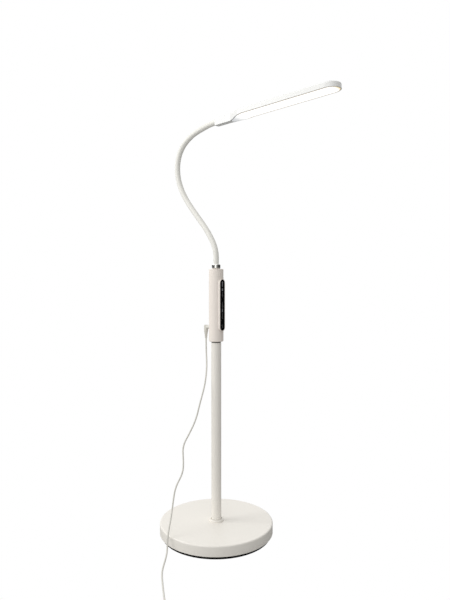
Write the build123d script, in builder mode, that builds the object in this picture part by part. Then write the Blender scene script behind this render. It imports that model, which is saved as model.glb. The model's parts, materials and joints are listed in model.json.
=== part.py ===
from build123d import *
from math import asin, cos, degrees, radians, sin, sqrt, tan
import os

# Gooseneck reading floor lamp, in millimetres.
# +Z is up, the origin is the middle of the base on the floor, and the lamp head
# points along +X.  -X is the back, where the low-voltage lead plugs in.

# ---------------------------------------------------------------- fits and gaps
FIT = 0.05              # radial play of a pressed or threaded seat
SLIP = 0.15             # radial play of a part that is laid in a recess
JOINT_GAP = 0.3         # space between the ball and the cup of two neck links

# ---------------------------------------------------------------- base
BASE_D = 252.0          # outside of the pressed cover
COVER_H = 23.0          # height of the cover's skirt
COVER_WALL = 1.5
COVER_EDGE_R = 3.0      # rolled edge at the top of the cover
PAD_T = 7.0             # foam disc under the base
PAD_INSET = 5.0         # how far the foam stands back from the cover
PLATE_T = 1.2           # sheet that closes the base from below
PLATE_PLAY = 0.4        # radial space between the cover and what lies in it

# ---------------------------------------------------------------- centre bolt
BOLT_D = 10.0
BOLT_AF = 17.0          # across the flats of the hexagon head
BOLT_HEAD_H = 6.4
BOLT_HOLE_D = 10.8
BOLT_GRIP = 16.0        # thread engaged in the pole
BOLT_POINT = 1.0
WASHER_D = 21.0
WASHER_T = 2.0
BOLT_POCKET_D = 28.0
BOLT_POCKET_SPARE = 1.0  # room between the bolt's head and the closing sheet

# ---------------------------------------------------------------- pole
COLLAR_D = 32.0
COLLAR_H = 4.4
COLLAR_FLOOR = 2.0
COLLAR_CUP_D = 25.0     # the pole stands in this cup with a dark gap round it
COLLAR_LIP_R = 1.6
POLE_D = 22.0
POLE_WALL = 1.5
POLE_LENGTH = 399.0
FOOT_PLUG_H = 20.0      # threaded plug in the lower end of the pole
HEAD_PLUG_H = 18.0      # threaded plug in the upper end of the pole
SHOULDER_D = 20.0       # dark shoulder that shows between pole and housing
SHOULDER_H = 2.5
STUD_D = 14.0
STUD_H = 19.0
STUD_POINT = 1.2

# ---------------------------------------------------------------- control housing
HOUSING_D = 32.0
HOUSING_WALL = 1.8
HOUSING_BODY_H = 156.0
HOUSING_FLOOR = 2.5
HOUSING_FOOT_R = 2.4    # rounding of its lower edge
SOCKET_H = 18.0         # threaded socket on the housing's floor
CAP_T = 3.0             # part of the top cap that shows
CAP_EDGE_R = 0.8
CAP_SPIGOT_H = 4.0
CAP_SPIGOT_WALL = 2.0

# ---------------------------------------------------------------- touch panel
PANEL_W = 15.0
PANEL_T = 1.6
PANEL_FACE_X = 17.8     # distance of the black face from the lamp's axis
PANEL_FOOT_GAP = 24.7   # from the housing's lower end up to the panel
PANEL_TOP_GAP = 19.8    # from the panel up to the top of the housing's tube
FRAME_RIM = 1.8         # white rim that shows round the panel
FRAME_BACK_X = 11.0
FRAME_EDGE_R = 0.5
WINDOW_W = 10.5         # opening behind the panel for the touch springs
FRAME_END = 8.5         # solid end of the frame beyond that opening, for a screw
SPRING_D = 5.0
SPRING_WALL = 0.7
SPRING_COUNT = 5
SPRING_END_GAP = 8.0    # from the end of the opening to the first spring's axis
BOARD_W = 17.0
BOARD_END_GAP = 1.5     # from the board's end to the panel's
BOARD_T = 1.6
BOARD_SCREW_D = 2.0
BOARD_SCREW_L = 6.0
BOARD_SCREW_HEAD_D = 3.8
BOARD_SCREW_HEAD_T = 1.4
BOARD_CORNER_R = 1.0
CONNECTOR_H = 8.0
CONNECTOR_T = 4.0
CONNECTOR_W = 9.0
CONNECTOR_DROP = 24.0   # connector's middle below the board's upper end
CHIP_SIZE = 7.0
CHIP_T = 1.2
CHIP_RISE = 10.0        # chip's middle above the board's middle

# ---------------------------------------------------------------- inlet and plug
JACK_RISE = 30.0        # inlet's axis above the housing's lower end
JACK_THREAD_D = 8.0
JACK_FLANGE_D = 10.5
JACK_FLANGE_T = 1.0
JACK_SPOT_D = 11.2      # flat that is milled into the round wall
JACK_SPOT_X = 15.2
JACK_DEPTH = 11.0
JACK_NUT_AF = 10.0
JACK_NUT_T = 2.0
JACK_NUT_X = 12.9
JACK_PIN_D = 2.0
JACK_BACK_T = 1.0       # closed back wall of the inlet
BARREL_D = 5.5
BARREL_BORE_D = 2.5
BARREL_PLAY = 0.1
BARREL_REACH = 9.0      # bright sleeve that goes into the inlet
PLUG_BODY_D = 9.2
PLUG_NOSE_D = 8.4
PLUG_AXIS_X = 29.5      # hanging part of the plug, distance from the lamp's axis
PLUG_NOSE_GAP = 0.3
PLUG_BODY_H = 14.9
PLUG_CROWN = 0.4        # body's top above the nose
PLUG_EDGE_R = 1.0
BOOT_H = 14.0           # ribbed bend relief under the plug's body
BOOT_TOP_D = 8.2
BOOT_END_D = 5.0
BOOT_GROOVES = 3
BOOT_GROOVE_DEPTH = 0.9
BOOT_GROOVE_W = 1.3
WIRE_D = 1.4
WIRE_SPREAD = 7.6       # between the two wires from inlet to board

# ---------------------------------------------------------------- neck
NECK_D = 12.0
NECK_BORE = 5.0
NIPPLE_D = 10.0
NIPPLE_BORE = 6.0
NIPPLE_DROP = 12.5      # nipple below the housing's top
NIPPLE_RISE = 6.0       # nipple inside the bright ferrule
FERRULE_D = 19.0
FERRULE_H = 11.5
FERRULE_SHOULDER_R = 2.6
LOCK_WASHER_D = 18.0
LOCK_WASHER_T = 1.2
LOCK_NUT_AF = 14.0
LOCK_NUT_H = 4.0
NECK_STUB = 12.0        # straight start above the ferrule, up to the first joint
LINK_LENGTH = 37.8
LINK_TURNS = (-30.0, -10.0, -3.0, 4.0, 11.0, 19.5, 26.0, 32.5, 20.0, 7.0)
TOP_STUB = 22.0         # last stretch, from the last joint to the head
TOP_STUB_TURN = 8.3
NECK_LEAD_D = 2.8
NECK_LEAD_R = 8.0       # its bends between the connector and the nipple
NECK_LEAD_RISE = 9.0    # straight start above the connector
NECK_LEAD_MEET = 18.0   # below the cap, where the lead reaches the neck's axis
NECK_LEAD_END = 4.0     # below the first joint, where it is left out

# ---------------------------------------------------------------- lamp head
HEAD_LENGTH = 299.0
HEAD_W = 44.0
HEAD_T = 10.6
HEAD_WALL = 1.8
HEAD_EDGE_R = 2.2
TAIL_W = 15.0
TAIL_DROP = 4.4         # how far the tail hangs below the flat underside
WINDOW_DROP = 4.6       # and the same where the light window starts
NECK_AXIS_W = 3.6       # neck's axis above the flat underside
SHOULDER_START = 36.0   # from the tail's end to where the head starts to widen
SHOULDER_END = 82.0     # and to where it has its full width
WINDOW_START = 44.0
TAIL_SEAT = 24.0        # neck's length inside the tail
TAIL_SPIGOT_D = 10.0    # neck's inner spiral, which goes into the tail
TAIL_BLOCK = 30.0       # solid length of the tail
TAIL_CHAMBER_REACH = 5.4  # the hollow above it reaches this far past the window's start
WINDOW_NOSE = 5.0        # length of the window's rounded start
TAIL_CORNER_R = 2.4
DIFFUSER_T = 2.0
DIFFUSER_PROUD = 0.3    # how far it stands out of the shell's rim
SHADOW_GAP = 0.9        # dark line between the rim and the diffuser
LIP_H = 2.2             # diffuser's inner lip, which clips into the shell
LIP_ROOT = 0.5          # lip's height inside the plate
LIP_T = 1.2
LIP_START = 62.0        # lip and mixer are open towards the tail, for the lead
LED_BOARD_T = 1.2
LED_BOARD_W = 36.0
LED_BOARD_START = 76.0
TAPE_T = 0.3
TAPE_INSET = 1.0
LED_START = 83.0
LED_TIP_GAP = 22.0      # from the middle of the last one to the head's tip
LED_COUNT = 19          # in each of two rows
LED_ROW_GAP = 22.0
LED_L = 3.5
LED_W = 2.8
LED_T = 0.8
MIXER_T = 1.2           # white frame that keeps the diffuser off the LEDs
BUSH_SHANK_D = 6.0
BUSH_FLANGE_D = 7.6
BUSH_FLANGE_T = 1.2
BUSH_BORE = 3.6
BUSH_GRIP = 9.0         # shank inside the neck's end
HEAD_LEAD_D = 2.4
HEAD_LEAD_R = 12.0
HEAD_LEAD_CLIMB = 15.0  # length over which it rises to the light board

# ---------------------------------------------------------------- lead and adapter
CORD_D = 3.4
BEND_SHARE = 0.45       # part of the shorter run beside it that a bend takes
SAME_TURN = 9           # mm of lead that count as one place when turns are compared
COIL_LAYER = 3.95       # height from one layer of the coil to the next
COIL_PITCH = 4.7        # from one turn to the next in a layer
COIL_INNER_R = 16.2
COIL_REST = 0.9         # the tie's band lies under the coil
TIE_T = 0.7
TIE_W = 7.0
TIE_PLAY = 0.35
ADAPTER_L = 62.0
ADAPTER_H = 34.0
ADAPTER_DEPTH = 26.0
ADAPTER_LID_T = 6.0
ADAPTER_EDGE_R = 3.0
RELIEF_L = 14.0
RELIEF_D = 7.0
RELIEF_TIP_D = 4.8
ADAPTER_WALL = 2.0
PIN_D = 4.0
PIN_L = 19.0
PIN_SPACING = 19.0
PIN_SLEEVE_D = 3.6      # insulated part of each pin
PIN_SLEEVE_L = 10.0
PIN_ROOT = 5.0          # pin inside the lid
PIN_POINT = 1.0
MAINS_BOARD_T = 1.6
MAINS_BOARD_X = -3.0    # board's back, from the middle of the case's depth
TRANSFORMER_L = 20.0
TRANSFORMER_W = 18.0
TRANSFORMER_T = 7.0
TRANSFORMER_SHIFT = 7.75  # from the board's middle, away from the lead
CAPACITOR_D = 8.0
CAPACITOR_H = 6.0
CAPACITOR_SHIFT = 15.5    # from the board's middle, towards the lead

# ---------------------------------------------------------------- worked out: heights
plate_z = PAD_T
weight_z = PAD_T + PLATE_T
base_top = PAD_T + COVER_H
cover_ceiling = base_top - COVER_WALL
cover_inner_r = BASE_D / 2 - COVER_WALL
pocket_top = weight_z + BOLT_POCKET_SPARE + BOLT_HEAD_H + WASHER_T
bolt_head_top = pocket_top - WASHER_T
pole_bottom = base_top + COLLAR_FLOOR
pole_top = pole_bottom + POLE_LENGTH
housing_bottom = pole_top + SHOULDER_H
housing_floor = housing_bottom + HOUSING_FLOOR
body_top = housing_bottom + HOUSING_BODY_H
housing_top = body_top + CAP_T
housing_inner_r = HOUSING_D / 2 - HOUSING_WALL
panel_length = HOUSING_BODY_H - PANEL_FOOT_GAP - PANEL_TOP_GAP
panel_z = housing_bottom + PANEL_FOOT_GAP + panel_length / 2
window_length = panel_length - 2 * FRAME_END
spring_pitch = (window_length - 2 * SPRING_END_GAP) / (SPRING_COUNT - 1)
board_length = panel_length - 2 * BOARD_END_GAP
jack_z = housing_bottom + JACK_RISE
nipple_top = housing_top + NIPPLE_RISE
ferrule_top = housing_top + FERRULE_H
first_joint_z = ferrule_top + NECK_STUB
panel_back_x = PANEL_FACE_X - PANEL_T
board_back_x = FRAME_BACK_X - BOARD_T
diffuser_top = DIFFUSER_T - DIFFUSER_PROUD
led_end = HEAD_LENGTH - LED_TIP_GAP

os.makedirs("parts", exist_ok=True)


def keep(piece, name):
    """Label a finished piece and write it as the node of that name."""
    piece.part.label = name
    export_step(piece.part, f"parts/{name}.step")


# ================================================================ base


def make_base_cover():
    """Pressed steel cover: a shallow cup, open below, with a rolled top edge."""
    with BuildPart() as cover:
        with BuildSketch(Plane.XY.offset(PAD_T)):
            Circle(BASE_D / 2)
        extrude(amount=COVER_H)
        fillet(cover.faces().sort_by(Axis.Z)[-1].edges(), COVER_EDGE_R)
        with BuildSketch(Plane.XY.offset(PAD_T)):
            Circle(cover_inner_r)
        extrude(amount=COVER_H - COVER_WALL, mode=Mode.SUBTRACT)
        with BuildSketch(Plane.XY.offset(cover_ceiling)):
            Circle(BOLT_HOLE_D / 2)
        extrude(amount=COVER_WALL, mode=Mode.SUBTRACT)
    keep(cover, "base_cover")


def make_base_weight():
    """Cast disc that fills the cover, with a pocket for the bolt's head."""
    with BuildPart() as weight:
        with BuildSketch(Plane.XY.offset(weight_z)):
            Circle(cover_inner_r - PLATE_PLAY)
        extrude(amount=cover_ceiling - weight_z)
        with BuildSketch(Plane.XY.offset(weight_z)):
            Circle(BOLT_POCKET_D / 2)
        extrude(amount=pocket_top - weight_z, mode=Mode.SUBTRACT)
        with BuildSketch(Plane.XY.offset(pocket_top)):
            Circle(BOLT_HOLE_D / 2)
        extrude(amount=cover_ceiling - pocket_top, mode=Mode.SUBTRACT)
    keep(weight, "base_weight")


def make_base_plate():
    """Sheet that closes the cover from below."""
    with BuildPart() as plate:
        with BuildSketch(Plane.XY.offset(plate_z)):
            Circle(cover_inner_r - PLATE_PLAY)
        extrude(amount=PLATE_T)
    keep(plate, "base_plate")


def make_base_pad():
    """Black foam disc that the lamp stands on."""
    with BuildPart() as pad:
        with BuildSketch(Plane.XY):
            Circle(BASE_D / 2 - PAD_INSET)
        extrude(amount=PAD_T)
    keep(pad, "base_pad")


# ================================================================ pole


def make_pole_bolt():
    """Hexagon bolt that clamps weight, cover, collar and pole together."""
    shank_top = pole_bottom + BOLT_GRIP
    with BuildPart() as bolt:
        with BuildSketch(Plane.XY.offset(bolt_head_top - BOLT_HEAD_H)):
            RegularPolygon(BOLT_AF / 2, 6, major_radius=False)
        extrude(amount=BOLT_HEAD_H)
        with BuildSketch(Plane.XY.offset(bolt_head_top)):
            Circle(BOLT_D / 2)
        extrude(amount=shank_top - bolt_head_top)
        chamfer(bolt.faces().sort_by(Axis.Z)[-1].edges(), BOLT_POINT)
    keep(bolt, "pole_bolt")


def make_bolt_washer():
    """Flat washer between the bolt's head and the weight."""
    with BuildPart() as washer:
        with BuildSketch(Plane.XY.offset(bolt_head_top)):
            Circle(WASHER_D / 2)
            Circle(BOLT_D / 2 + FIT, mode=Mode.SUBTRACT)
        extrude(amount=WASHER_T)
    keep(washer, "bolt_washer")


def make_pole_collar():
    """Low white ring on the base, with a cup that the pole stands in."""
    with BuildPart() as collar:
        with BuildSketch(Plane.XY.offset(base_top)):
            Circle(COLLAR_D / 2)
        extrude(amount=COLLAR_H)
        fillet(collar.faces().sort_by(Axis.Z)[-1].edges(), COLLAR_LIP_R)
        with BuildSketch(Plane.XY.offset(pole_bottom)):
            Circle(COLLAR_CUP_D / 2)
        extrude(amount=COLLAR_H - COLLAR_FLOOR, mode=Mode.SUBTRACT)
        with BuildSketch(Plane.XY.offset(base_top)):
            Circle(BOLT_HOLE_D / 2)
        extrude(amount=COLLAR_FLOOR, mode=Mode.SUBTRACT)
    keep(collar, "pole_collar")


def make_pole_tube():
    """Steel tube, one length, standing in the collar."""
    with BuildPart() as pole:
        with BuildSketch(Plane.XY.offset(pole_bottom)):
            Circle(POLE_D / 2)
            Circle(POLE_D / 2 - POLE_WALL, mode=Mode.SUBTRACT)
        extrude(amount=POLE_LENGTH)
    keep(pole, "pole_tube")


def make_pole_foot_plug():
    """Threaded plug pressed into the lower end of the pole."""
    with BuildPart() as plug:
        with BuildSketch(Plane.XY.offset(pole_bottom)):
            Circle(POLE_D / 2 - POLE_WALL - FIT)
            Circle(BOLT_D / 2 + FIT, mode=Mode.SUBTRACT)
        extrude(amount=FOOT_PLUG_H)
    keep(plug, "pole_foot_plug")


def make_pole_head_plug():
    """Plug in the upper end of the pole: pressed shank, shoulder and stud."""
    with BuildPart() as plug:
        with BuildSketch(Plane.XY.offset(pole_top - HEAD_PLUG_H)):
            Circle(POLE_D / 2 - POLE_WALL - FIT)
        extrude(amount=HEAD_PLUG_H)
        with BuildSketch(Plane.XY.offset(pole_top)):
            Circle(SHOULDER_D / 2)
        extrude(amount=SHOULDER_H)
        with BuildSketch(Plane.XY.offset(housing_bottom)):
            Circle(STUD_D / 2)
        extrude(amount=STUD_H)
        chamfer(plug.faces().sort_by(Axis.Z)[-1].edges(), STUD_POINT)
    keep(plug, "pole_head_plug")


# ================================================================ control housing


def panel_plane(x):
    """Upright plane at a distance in front of the lamp's axis, facing +X."""
    return Plane(origin=(x, 0, panel_z), x_dir=(0, 1, 0), z_dir=(1, 0, 0))


def make_housing_body():
    """White tube with a floor, a slot for the panel's frame and a flat for the inlet."""
    with BuildPart() as body:
        with BuildSketch(Plane.XY.offset(housing_bottom)):
            Circle(HOUSING_D / 2)
        extrude(amount=HOUSING_BODY_H)
        fillet(body.faces().sort_by(Axis.Z)[0].edges(), HOUSING_FOOT_R)
        with BuildSketch(Plane.XY.offset(housing_floor)):
            Circle(housing_inner_r)
        extrude(amount=HOUSING_BODY_H - HOUSING_FLOOR, mode=Mode.SUBTRACT)
        with BuildSketch(Plane.XY.offset(housing_bottom)):
            Circle(STUD_D / 2 + SLIP)
        extrude(amount=HOUSING_FLOOR, mode=Mode.SUBTRACT)
        with BuildSketch(panel_plane(0)):
            SlotOverall(panel_length + 2 * FRAME_RIM + 2 * SLIP, PANEL_W + 2 * FRAME_RIM + 2 * SLIP, 90)
        extrude(amount=HOUSING_D, mode=Mode.SUBTRACT)
        with BuildSketch(Plane(origin=(0, 0, jack_z), x_dir=(0, 1, 0), z_dir=(-1, 0, 0))):
            Circle(JACK_THREAD_D / 2 + FIT)
        extrude(amount=HOUSING_D, mode=Mode.SUBTRACT)
        with BuildSketch(Plane(origin=(-JACK_SPOT_X, 0, jack_z), x_dir=(0, 1, 0), z_dir=(-1, 0, 0))):
            Circle(JACK_SPOT_D / 2)
        extrude(amount=HOUSING_D, mode=Mode.SUBTRACT)
    keep(body, "housing_body")


def make_housing_socket():
    """Threaded socket on the housing's floor, for the pole's stud."""
    with BuildPart() as socket:
        with BuildSketch(Plane.XY.offset(housing_floor)):
            Circle(housing_inner_r - FIT)
            Circle(STUD_D / 2 + FIT, mode=Mode.SUBTRACT)
        extrude(amount=SOCKET_H)
    keep(socket, "housing_socket")


def make_housing_cap():
    """Cap that closes the top: a rim that shows and a spigot inside the tube."""
    with BuildPart() as cap:
        with BuildSketch(Plane.XY.offset(body_top)):
            Circle(HOUSING_D / 2)
        extrude(amount=CAP_T)
        fillet(cap.faces().sort_by(Axis.Z)[-1].edges(), CAP_EDGE_R)
        with BuildSketch(Plane.XY.offset(body_top - CAP_SPIGOT_H)):
            Circle(housing_inner_r - FIT)
            Circle(housing_inner_r - FIT - CAP_SPIGOT_WALL, mode=Mode.SUBTRACT)
        extrude(amount=CAP_SPIGOT_H)
        with BuildSketch(Plane.XY.offset(body_top)):
            Circle(NIPPLE_D / 2 + FIT)
        extrude(amount=CAP_T, mode=Mode.SUBTRACT)
    keep(cap, "housing_cap")


def make_panel_frame():
    """Raised white frame in the housing's slot: a rim, a recess and a window."""
    with BuildPart() as frame:
        with BuildSketch(panel_plane(FRAME_BACK_X)):
            SlotOverall(panel_length + 2 * FRAME_RIM, PANEL_W + 2 * FRAME_RIM, 90)
        extrude(amount=PANEL_FACE_X - FRAME_BACK_X)
        fillet(frame.faces().sort_by(Axis.X)[-1].edges(), FRAME_EDGE_R)
        with BuildSketch(panel_plane(panel_back_x)):
            SlotOverall(panel_length + 2 * SLIP, PANEL_W + 2 * SLIP, 90)
        extrude(amount=PANEL_T, mode=Mode.SUBTRACT)
        with BuildSketch(panel_plane(FRAME_BACK_X)):
            SlotOverall(window_length, WINDOW_W, 90)
        extrude(amount=panel_back_x - FRAME_BACK_X, mode=Mode.SUBTRACT)
        with BuildSketch(panel_plane(FRAME_BACK_X)):
            with GridLocations(1, screw_spacing(), 1, 2):
                Circle(BOARD_SCREW_D / 2 + FIT)
        extrude(amount=BOARD_SCREW_L - BOARD_T + SLIP, mode=Mode.SUBTRACT)
    keep(frame, "panel_frame")


def screw_spacing():
    """Distance between the board's two screws: in the frame's solid ends."""
    return (window_length + panel_length) / 2


def make_touch_panel():
    """Black glossy panel, flush with the rim of its frame."""
    with BuildPart() as panel:
        with BuildSketch(panel_plane(panel_back_x)):
            SlotOverall(panel_length, PANEL_W, 90)
        extrude(amount=PANEL_T)
    keep(panel, "touch_panel")


def make_touch_springs():
    """Spring sleeves that carry each touch field's signal to the board."""
    with BuildPart() as springs:
        with BuildSketch(panel_plane(FRAME_BACK_X)):
            with GridLocations(1, spring_pitch, 1, SPRING_COUNT):
                Circle(SPRING_D / 2)
                Circle(SPRING_D / 2 - SPRING_WALL, mode=Mode.SUBTRACT)
        extrude(amount=panel_back_x - FRAME_BACK_X)
    keep(springs, "touch_springs")


def make_control_board():
    """Circuit board, screwed to the back of the panel's frame."""
    with BuildPart() as board:
        with BuildSketch(panel_plane(board_back_x)):
            RectangleRounded(BOARD_W, board_length, BOARD_CORNER_R)
            with GridLocations(1, screw_spacing(), 1, 2):
                Circle(BOARD_SCREW_D / 2 + FIT, mode=Mode.SUBTRACT)
        extrude(amount=BOARD_T)
    keep(board, "control_board")


def make_board_parts():
    """Connector of the neck's lead and the controller chip, behind the board."""
    with BuildPart() as parts:
        with BuildSketch(panel_plane(board_back_x - CONNECTOR_T)):
            with Locations((0, lead_connector_y())):
                Rectangle(CONNECTOR_W, CONNECTOR_H)
        extrude(amount=CONNECTOR_T)
        with BuildSketch(panel_plane(board_back_x - CHIP_T)):
            with Locations((0, CHIP_RISE)):
                Rectangle(CHIP_SIZE, CHIP_SIZE)
        extrude(amount=CHIP_T)
    keep(parts, "board_parts")


def lead_connector_y():
    """Height of the connector's middle above the panel's middle."""
    return board_length / 2 - CONNECTOR_DROP


def make_board_screws():
    """Two pan-head screws through the board into the frame."""
    with BuildPart() as screws:
        with BuildSketch(panel_plane(board_back_x - BOARD_SCREW_HEAD_T)):
            with GridLocations(1, screw_spacing(), 1, 2):
                Circle(BOARD_SCREW_HEAD_D / 2)
        extrude(amount=BOARD_SCREW_HEAD_T)
        with BuildSketch(panel_plane(board_back_x)):
            with GridLocations(1, screw_spacing(), 1, 2):
                Circle(BOARD_SCREW_D / 2)
        extrude(amount=BOARD_SCREW_L)
    keep(screws, "board_screws")


# ================================================================ inlet and plug


def back_plane(x, z):
    """Upright plane at a distance behind the lamp's axis, facing -X."""
    return Plane(origin=(-x, 0, z), x_dir=(0, 1, 0), z_dir=(-1, 0, 0))


def make_dc_jack():
    """Threaded inlet: flange outside, bored barrel and centre pin inside."""
    inner_end_x = JACK_SPOT_X - JACK_DEPTH
    with BuildPart() as jack:
        with BuildSketch(back_plane(JACK_SPOT_X, jack_z)):
            Circle(JACK_FLANGE_D / 2)
        extrude(amount=JACK_FLANGE_T)
        with BuildSketch(back_plane(inner_end_x, jack_z)):
            Circle(JACK_THREAD_D / 2)
        extrude(amount=JACK_DEPTH)
        with BuildSketch(back_plane(inner_end_x + JACK_BACK_T, jack_z)):
            Circle(BARREL_D / 2 + BARREL_PLAY)
            Circle(JACK_PIN_D / 2, mode=Mode.SUBTRACT)
        extrude(amount=JACK_DEPTH - JACK_BACK_T + JACK_FLANGE_T, mode=Mode.SUBTRACT)
    keep(jack, "dc_jack")


def make_jack_nut():
    """Hexagon nut that holds the inlet from inside the housing."""
    with BuildPart() as nut:
        with BuildSketch(back_plane(JACK_NUT_X - JACK_NUT_T, jack_z)):
            RegularPolygon(JACK_NUT_AF / 2, 6, major_radius=False)
            Circle(JACK_THREAD_D / 2 + FIT, mode=Mode.SUBTRACT)
        extrude(amount=JACK_NUT_T)
    keep(nut, "jack_nut")


def make_jack_wires():
    """Two short wires from the inlet's back to the board."""
    start_x = JACK_SPOT_X - JACK_DEPTH
    with BuildPart() as wires:
        with BuildSketch(Plane(origin=(-start_x, 0, jack_z), x_dir=(0, 1, 0), z_dir=(1, 0, 0))):
            with GridLocations(WIRE_SPREAD - WIRE_D, 1, 2, 1):
                Circle(WIRE_D / 2)
        extrude(amount=start_x + board_back_x)
    keep(wires, "jack_wires")


def make_plug_barrel():
    """Bright sleeve of the plug, inside the inlet."""
    nose_x = JACK_SPOT_X + JACK_FLANGE_T + PLUG_NOSE_GAP
    with BuildPart() as barrel:
        with BuildSketch(back_plane(nose_x - BARREL_REACH, jack_z)):
            Circle(BARREL_D / 2)
            Circle(BARREL_BORE_D / 2, mode=Mode.SUBTRACT)
        extrude(amount=BARREL_REACH)
    keep(barrel, "plug_barrel")


def boot_profile_radius(fall):
    """Radius of the tapered bend relief at a depth below the plug's body."""
    return (BOOT_TOP_D + (BOOT_END_D - BOOT_TOP_D) * fall / BOOT_H) / 2


def plug_top():
    """Height of the top of the plug's hanging body."""
    return jack_z + PLUG_NOSE_D / 2 + PLUG_CROWN


def plug_bottom():
    """Height of the bend relief's lower end, where the lead comes out."""
    return plug_top() - PLUG_BODY_H - BOOT_H


def make_dc_plug():
    """Angled plug: nose towards the housing, hanging body and ribbed relief."""
    nose_x = JACK_SPOT_X + JACK_FLANGE_T + PLUG_NOSE_GAP
    boot_top = plug_top() - PLUG_BODY_H
    rib_step = BOOT_H / (BOOT_GROOVES + 1)
    with BuildPart() as plug:
        with BuildSketch(Plane(origin=(-PLUG_AXIS_X, 0, boot_top))):
            Circle(PLUG_BODY_D / 2)
        extrude(amount=PLUG_BODY_H)
        fillet(plug.faces().sort_by(Axis.Z)[-1].edges(), PLUG_EDGE_R)
        with BuildSketch(back_plane(nose_x, jack_z)):
            Circle(PLUG_NOSE_D / 2)
        extrude(amount=PLUG_AXIS_X - nose_x)
        with BuildSketch(Plane(origin=(-PLUG_AXIS_X, 0, 0), x_dir=(1, 0, 0), z_dir=(0, -1, 0))):
            with BuildLine():
                Polyline(
                    (0, boot_top),
                    (boot_profile_radius(0), boot_top),
                    (boot_profile_radius(BOOT_H), plug_bottom()),
                    (0, plug_bottom()),
                    close=True,
                )
            make_face()
        revolve(axis=Axis((-PLUG_AXIS_X, 0, 0), (0, 0, 1)))
        for groove in range(1, BOOT_GROOVES + 1):
            middle = boot_top - groove * rib_step
            radius = boot_profile_radius(groove * rib_step)
            with BuildSketch(Plane(origin=(-PLUG_AXIS_X, 0, middle - BOOT_GROOVE_W / 2))):
                Circle(PLUG_BODY_D / 2)
                Circle(radius - BOOT_GROOVE_DEPTH, mode=Mode.SUBTRACT)
            extrude(amount=BOOT_GROOVE_W, mode=Mode.SUBTRACT)
    keep(plug, "dc_plug")


# ================================================================ neck


def step_along(station, length, turn):
    """Next (x, z, lean) after an arc: lean is degrees from upright towards +X."""
    x, z, lean = station
    if turn == 0:
        return (x + length * sin(radians(lean)), z + length * cos(radians(lean)), lean)
    radius = length / radians(turn)
    end = lean + turn
    x += radius * (cos(radians(lean)) - cos(radians(end)))
    z += radius * (sin(radians(end)) - sin(radians(lean)))
    return (x, z, end)


def joint_stations():
    """Middle of each neck joint, from the ferrule to the head."""
    stations = [(0.0, first_joint_z, 0.0)]
    for turn in LINK_TURNS:
        stations.append(step_along(stations[-1], LINK_LENGTH, turn))
    return stations


def across_neck(station):
    """Plane square to the neck at a station, its normal along the neck."""
    x, z, lean = station
    along = (sin(radians(lean)), 0, cos(radians(lean)))
    return Plane(origin=(x, 0, z), x_dir=(0, 1, 0), z_dir=along)


def bend_axis(station, length, turn):
    """Axis that the neck bends round over an arc that starts at a station."""
    x, z, lean = station
    radius = length / radians(turn)
    centre = (x + radius * cos(radians(lean)), 0, z - radius * sin(radians(lean)))
    return Axis(centre, (0, 1 if turn > 0 else -1, 0))


def neck_section():
    """Round section of the neck with its bore."""
    Circle(NECK_D / 2)
    Circle(NECK_BORE / 2, mode=Mode.SUBTRACT)


def ball_end(station):
    """Half ball on the upper end of a link, bored for the lead."""
    x, z, lean = station
    along = (sin(radians(lean)), 0, cos(radians(lean)))
    section = Plane(origin=(x, 0, z), x_dir=(0, 1, 0), z_dir=(cos(radians(lean)), 0, -sin(radians(lean))))
    ball_r, bore_r = NECK_D / 2, NECK_BORE / 2
    with BuildSketch(section) as half:
        with BuildLine():
            CenterArc((0, 0), ball_r, 0, degrees(asin(sqrt(1 - (bore_r / ball_r) ** 2))))
            Line((bore_r, sqrt(ball_r**2 - bore_r**2)), (bore_r, 0))
            Line((bore_r, 0), (ball_r, 0))
        make_face()
    revolve(half.sketch, axis=Axis((x, 0, z), along))


def cup_end(station):
    """Hollow cup at the lower end of a link, round the ball below it."""
    with Locations(across_neck(station).location):
        Sphere(NECK_D / 2 + JOINT_GAP, mode=Mode.SUBTRACT)


def make_neck_foot():
    """Straight lower end of the neck, fixed in the ferrule."""
    start = (0.0, nipple_top, 0.0)
    with BuildPart() as foot:
        with BuildSketch(across_neck(start)):
            neck_section()
        extrude(amount=first_joint_z - nipple_top)
        ball_end((0.0, first_joint_z, 0.0))
    keep(foot, "neck_foot")


def make_neck_links():
    """Ten links of the neck, each an arc with a cup below and a ball above."""
    stations = joint_stations()
    for number, turn in enumerate(LINK_TURNS, start=1):
        start, end = stations[number - 1], stations[number]
        with BuildPart() as link:
            with BuildSketch(across_neck(start)):
                neck_section()
            revolve(axis=bend_axis(start, LINK_LENGTH, turn), revolution_arc=abs(turn))
            ball_end(end)
            cup_end(start)
        keep(link, f"neck_link_{number:02d}")


def tail_station():
    """Where the neck goes into the tail of the head."""
    return step_along(joint_stations()[-1], TOP_STUB, TOP_STUB_TURN)


def make_neck_top():
    """Upper end of the neck, from the last joint into the head's tail."""
    start, tail = joint_stations()[-1], tail_station()
    with BuildPart() as top:
        with BuildSketch(across_neck(start)):
            neck_section()
        revolve(axis=bend_axis(start, TOP_STUB, TOP_STUB_TURN), revolution_arc=TOP_STUB_TURN)
        with BuildSketch(across_neck(tail)):
            Circle(TAIL_SPIGOT_D / 2)
            Circle(NECK_BORE / 2, mode=Mode.SUBTRACT)
        extrude(amount=TAIL_SEAT)
        with BuildSketch(across_neck(step_along(tail, TAIL_SEAT - BUSH_GRIP - SLIP, 0))):
            Circle(BUSH_SHANK_D / 2 + FIT)
        extrude(amount=BUSH_GRIP + SLIP, mode=Mode.SUBTRACT)
        cup_end(start)
    keep(top, "neck_top")


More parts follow.
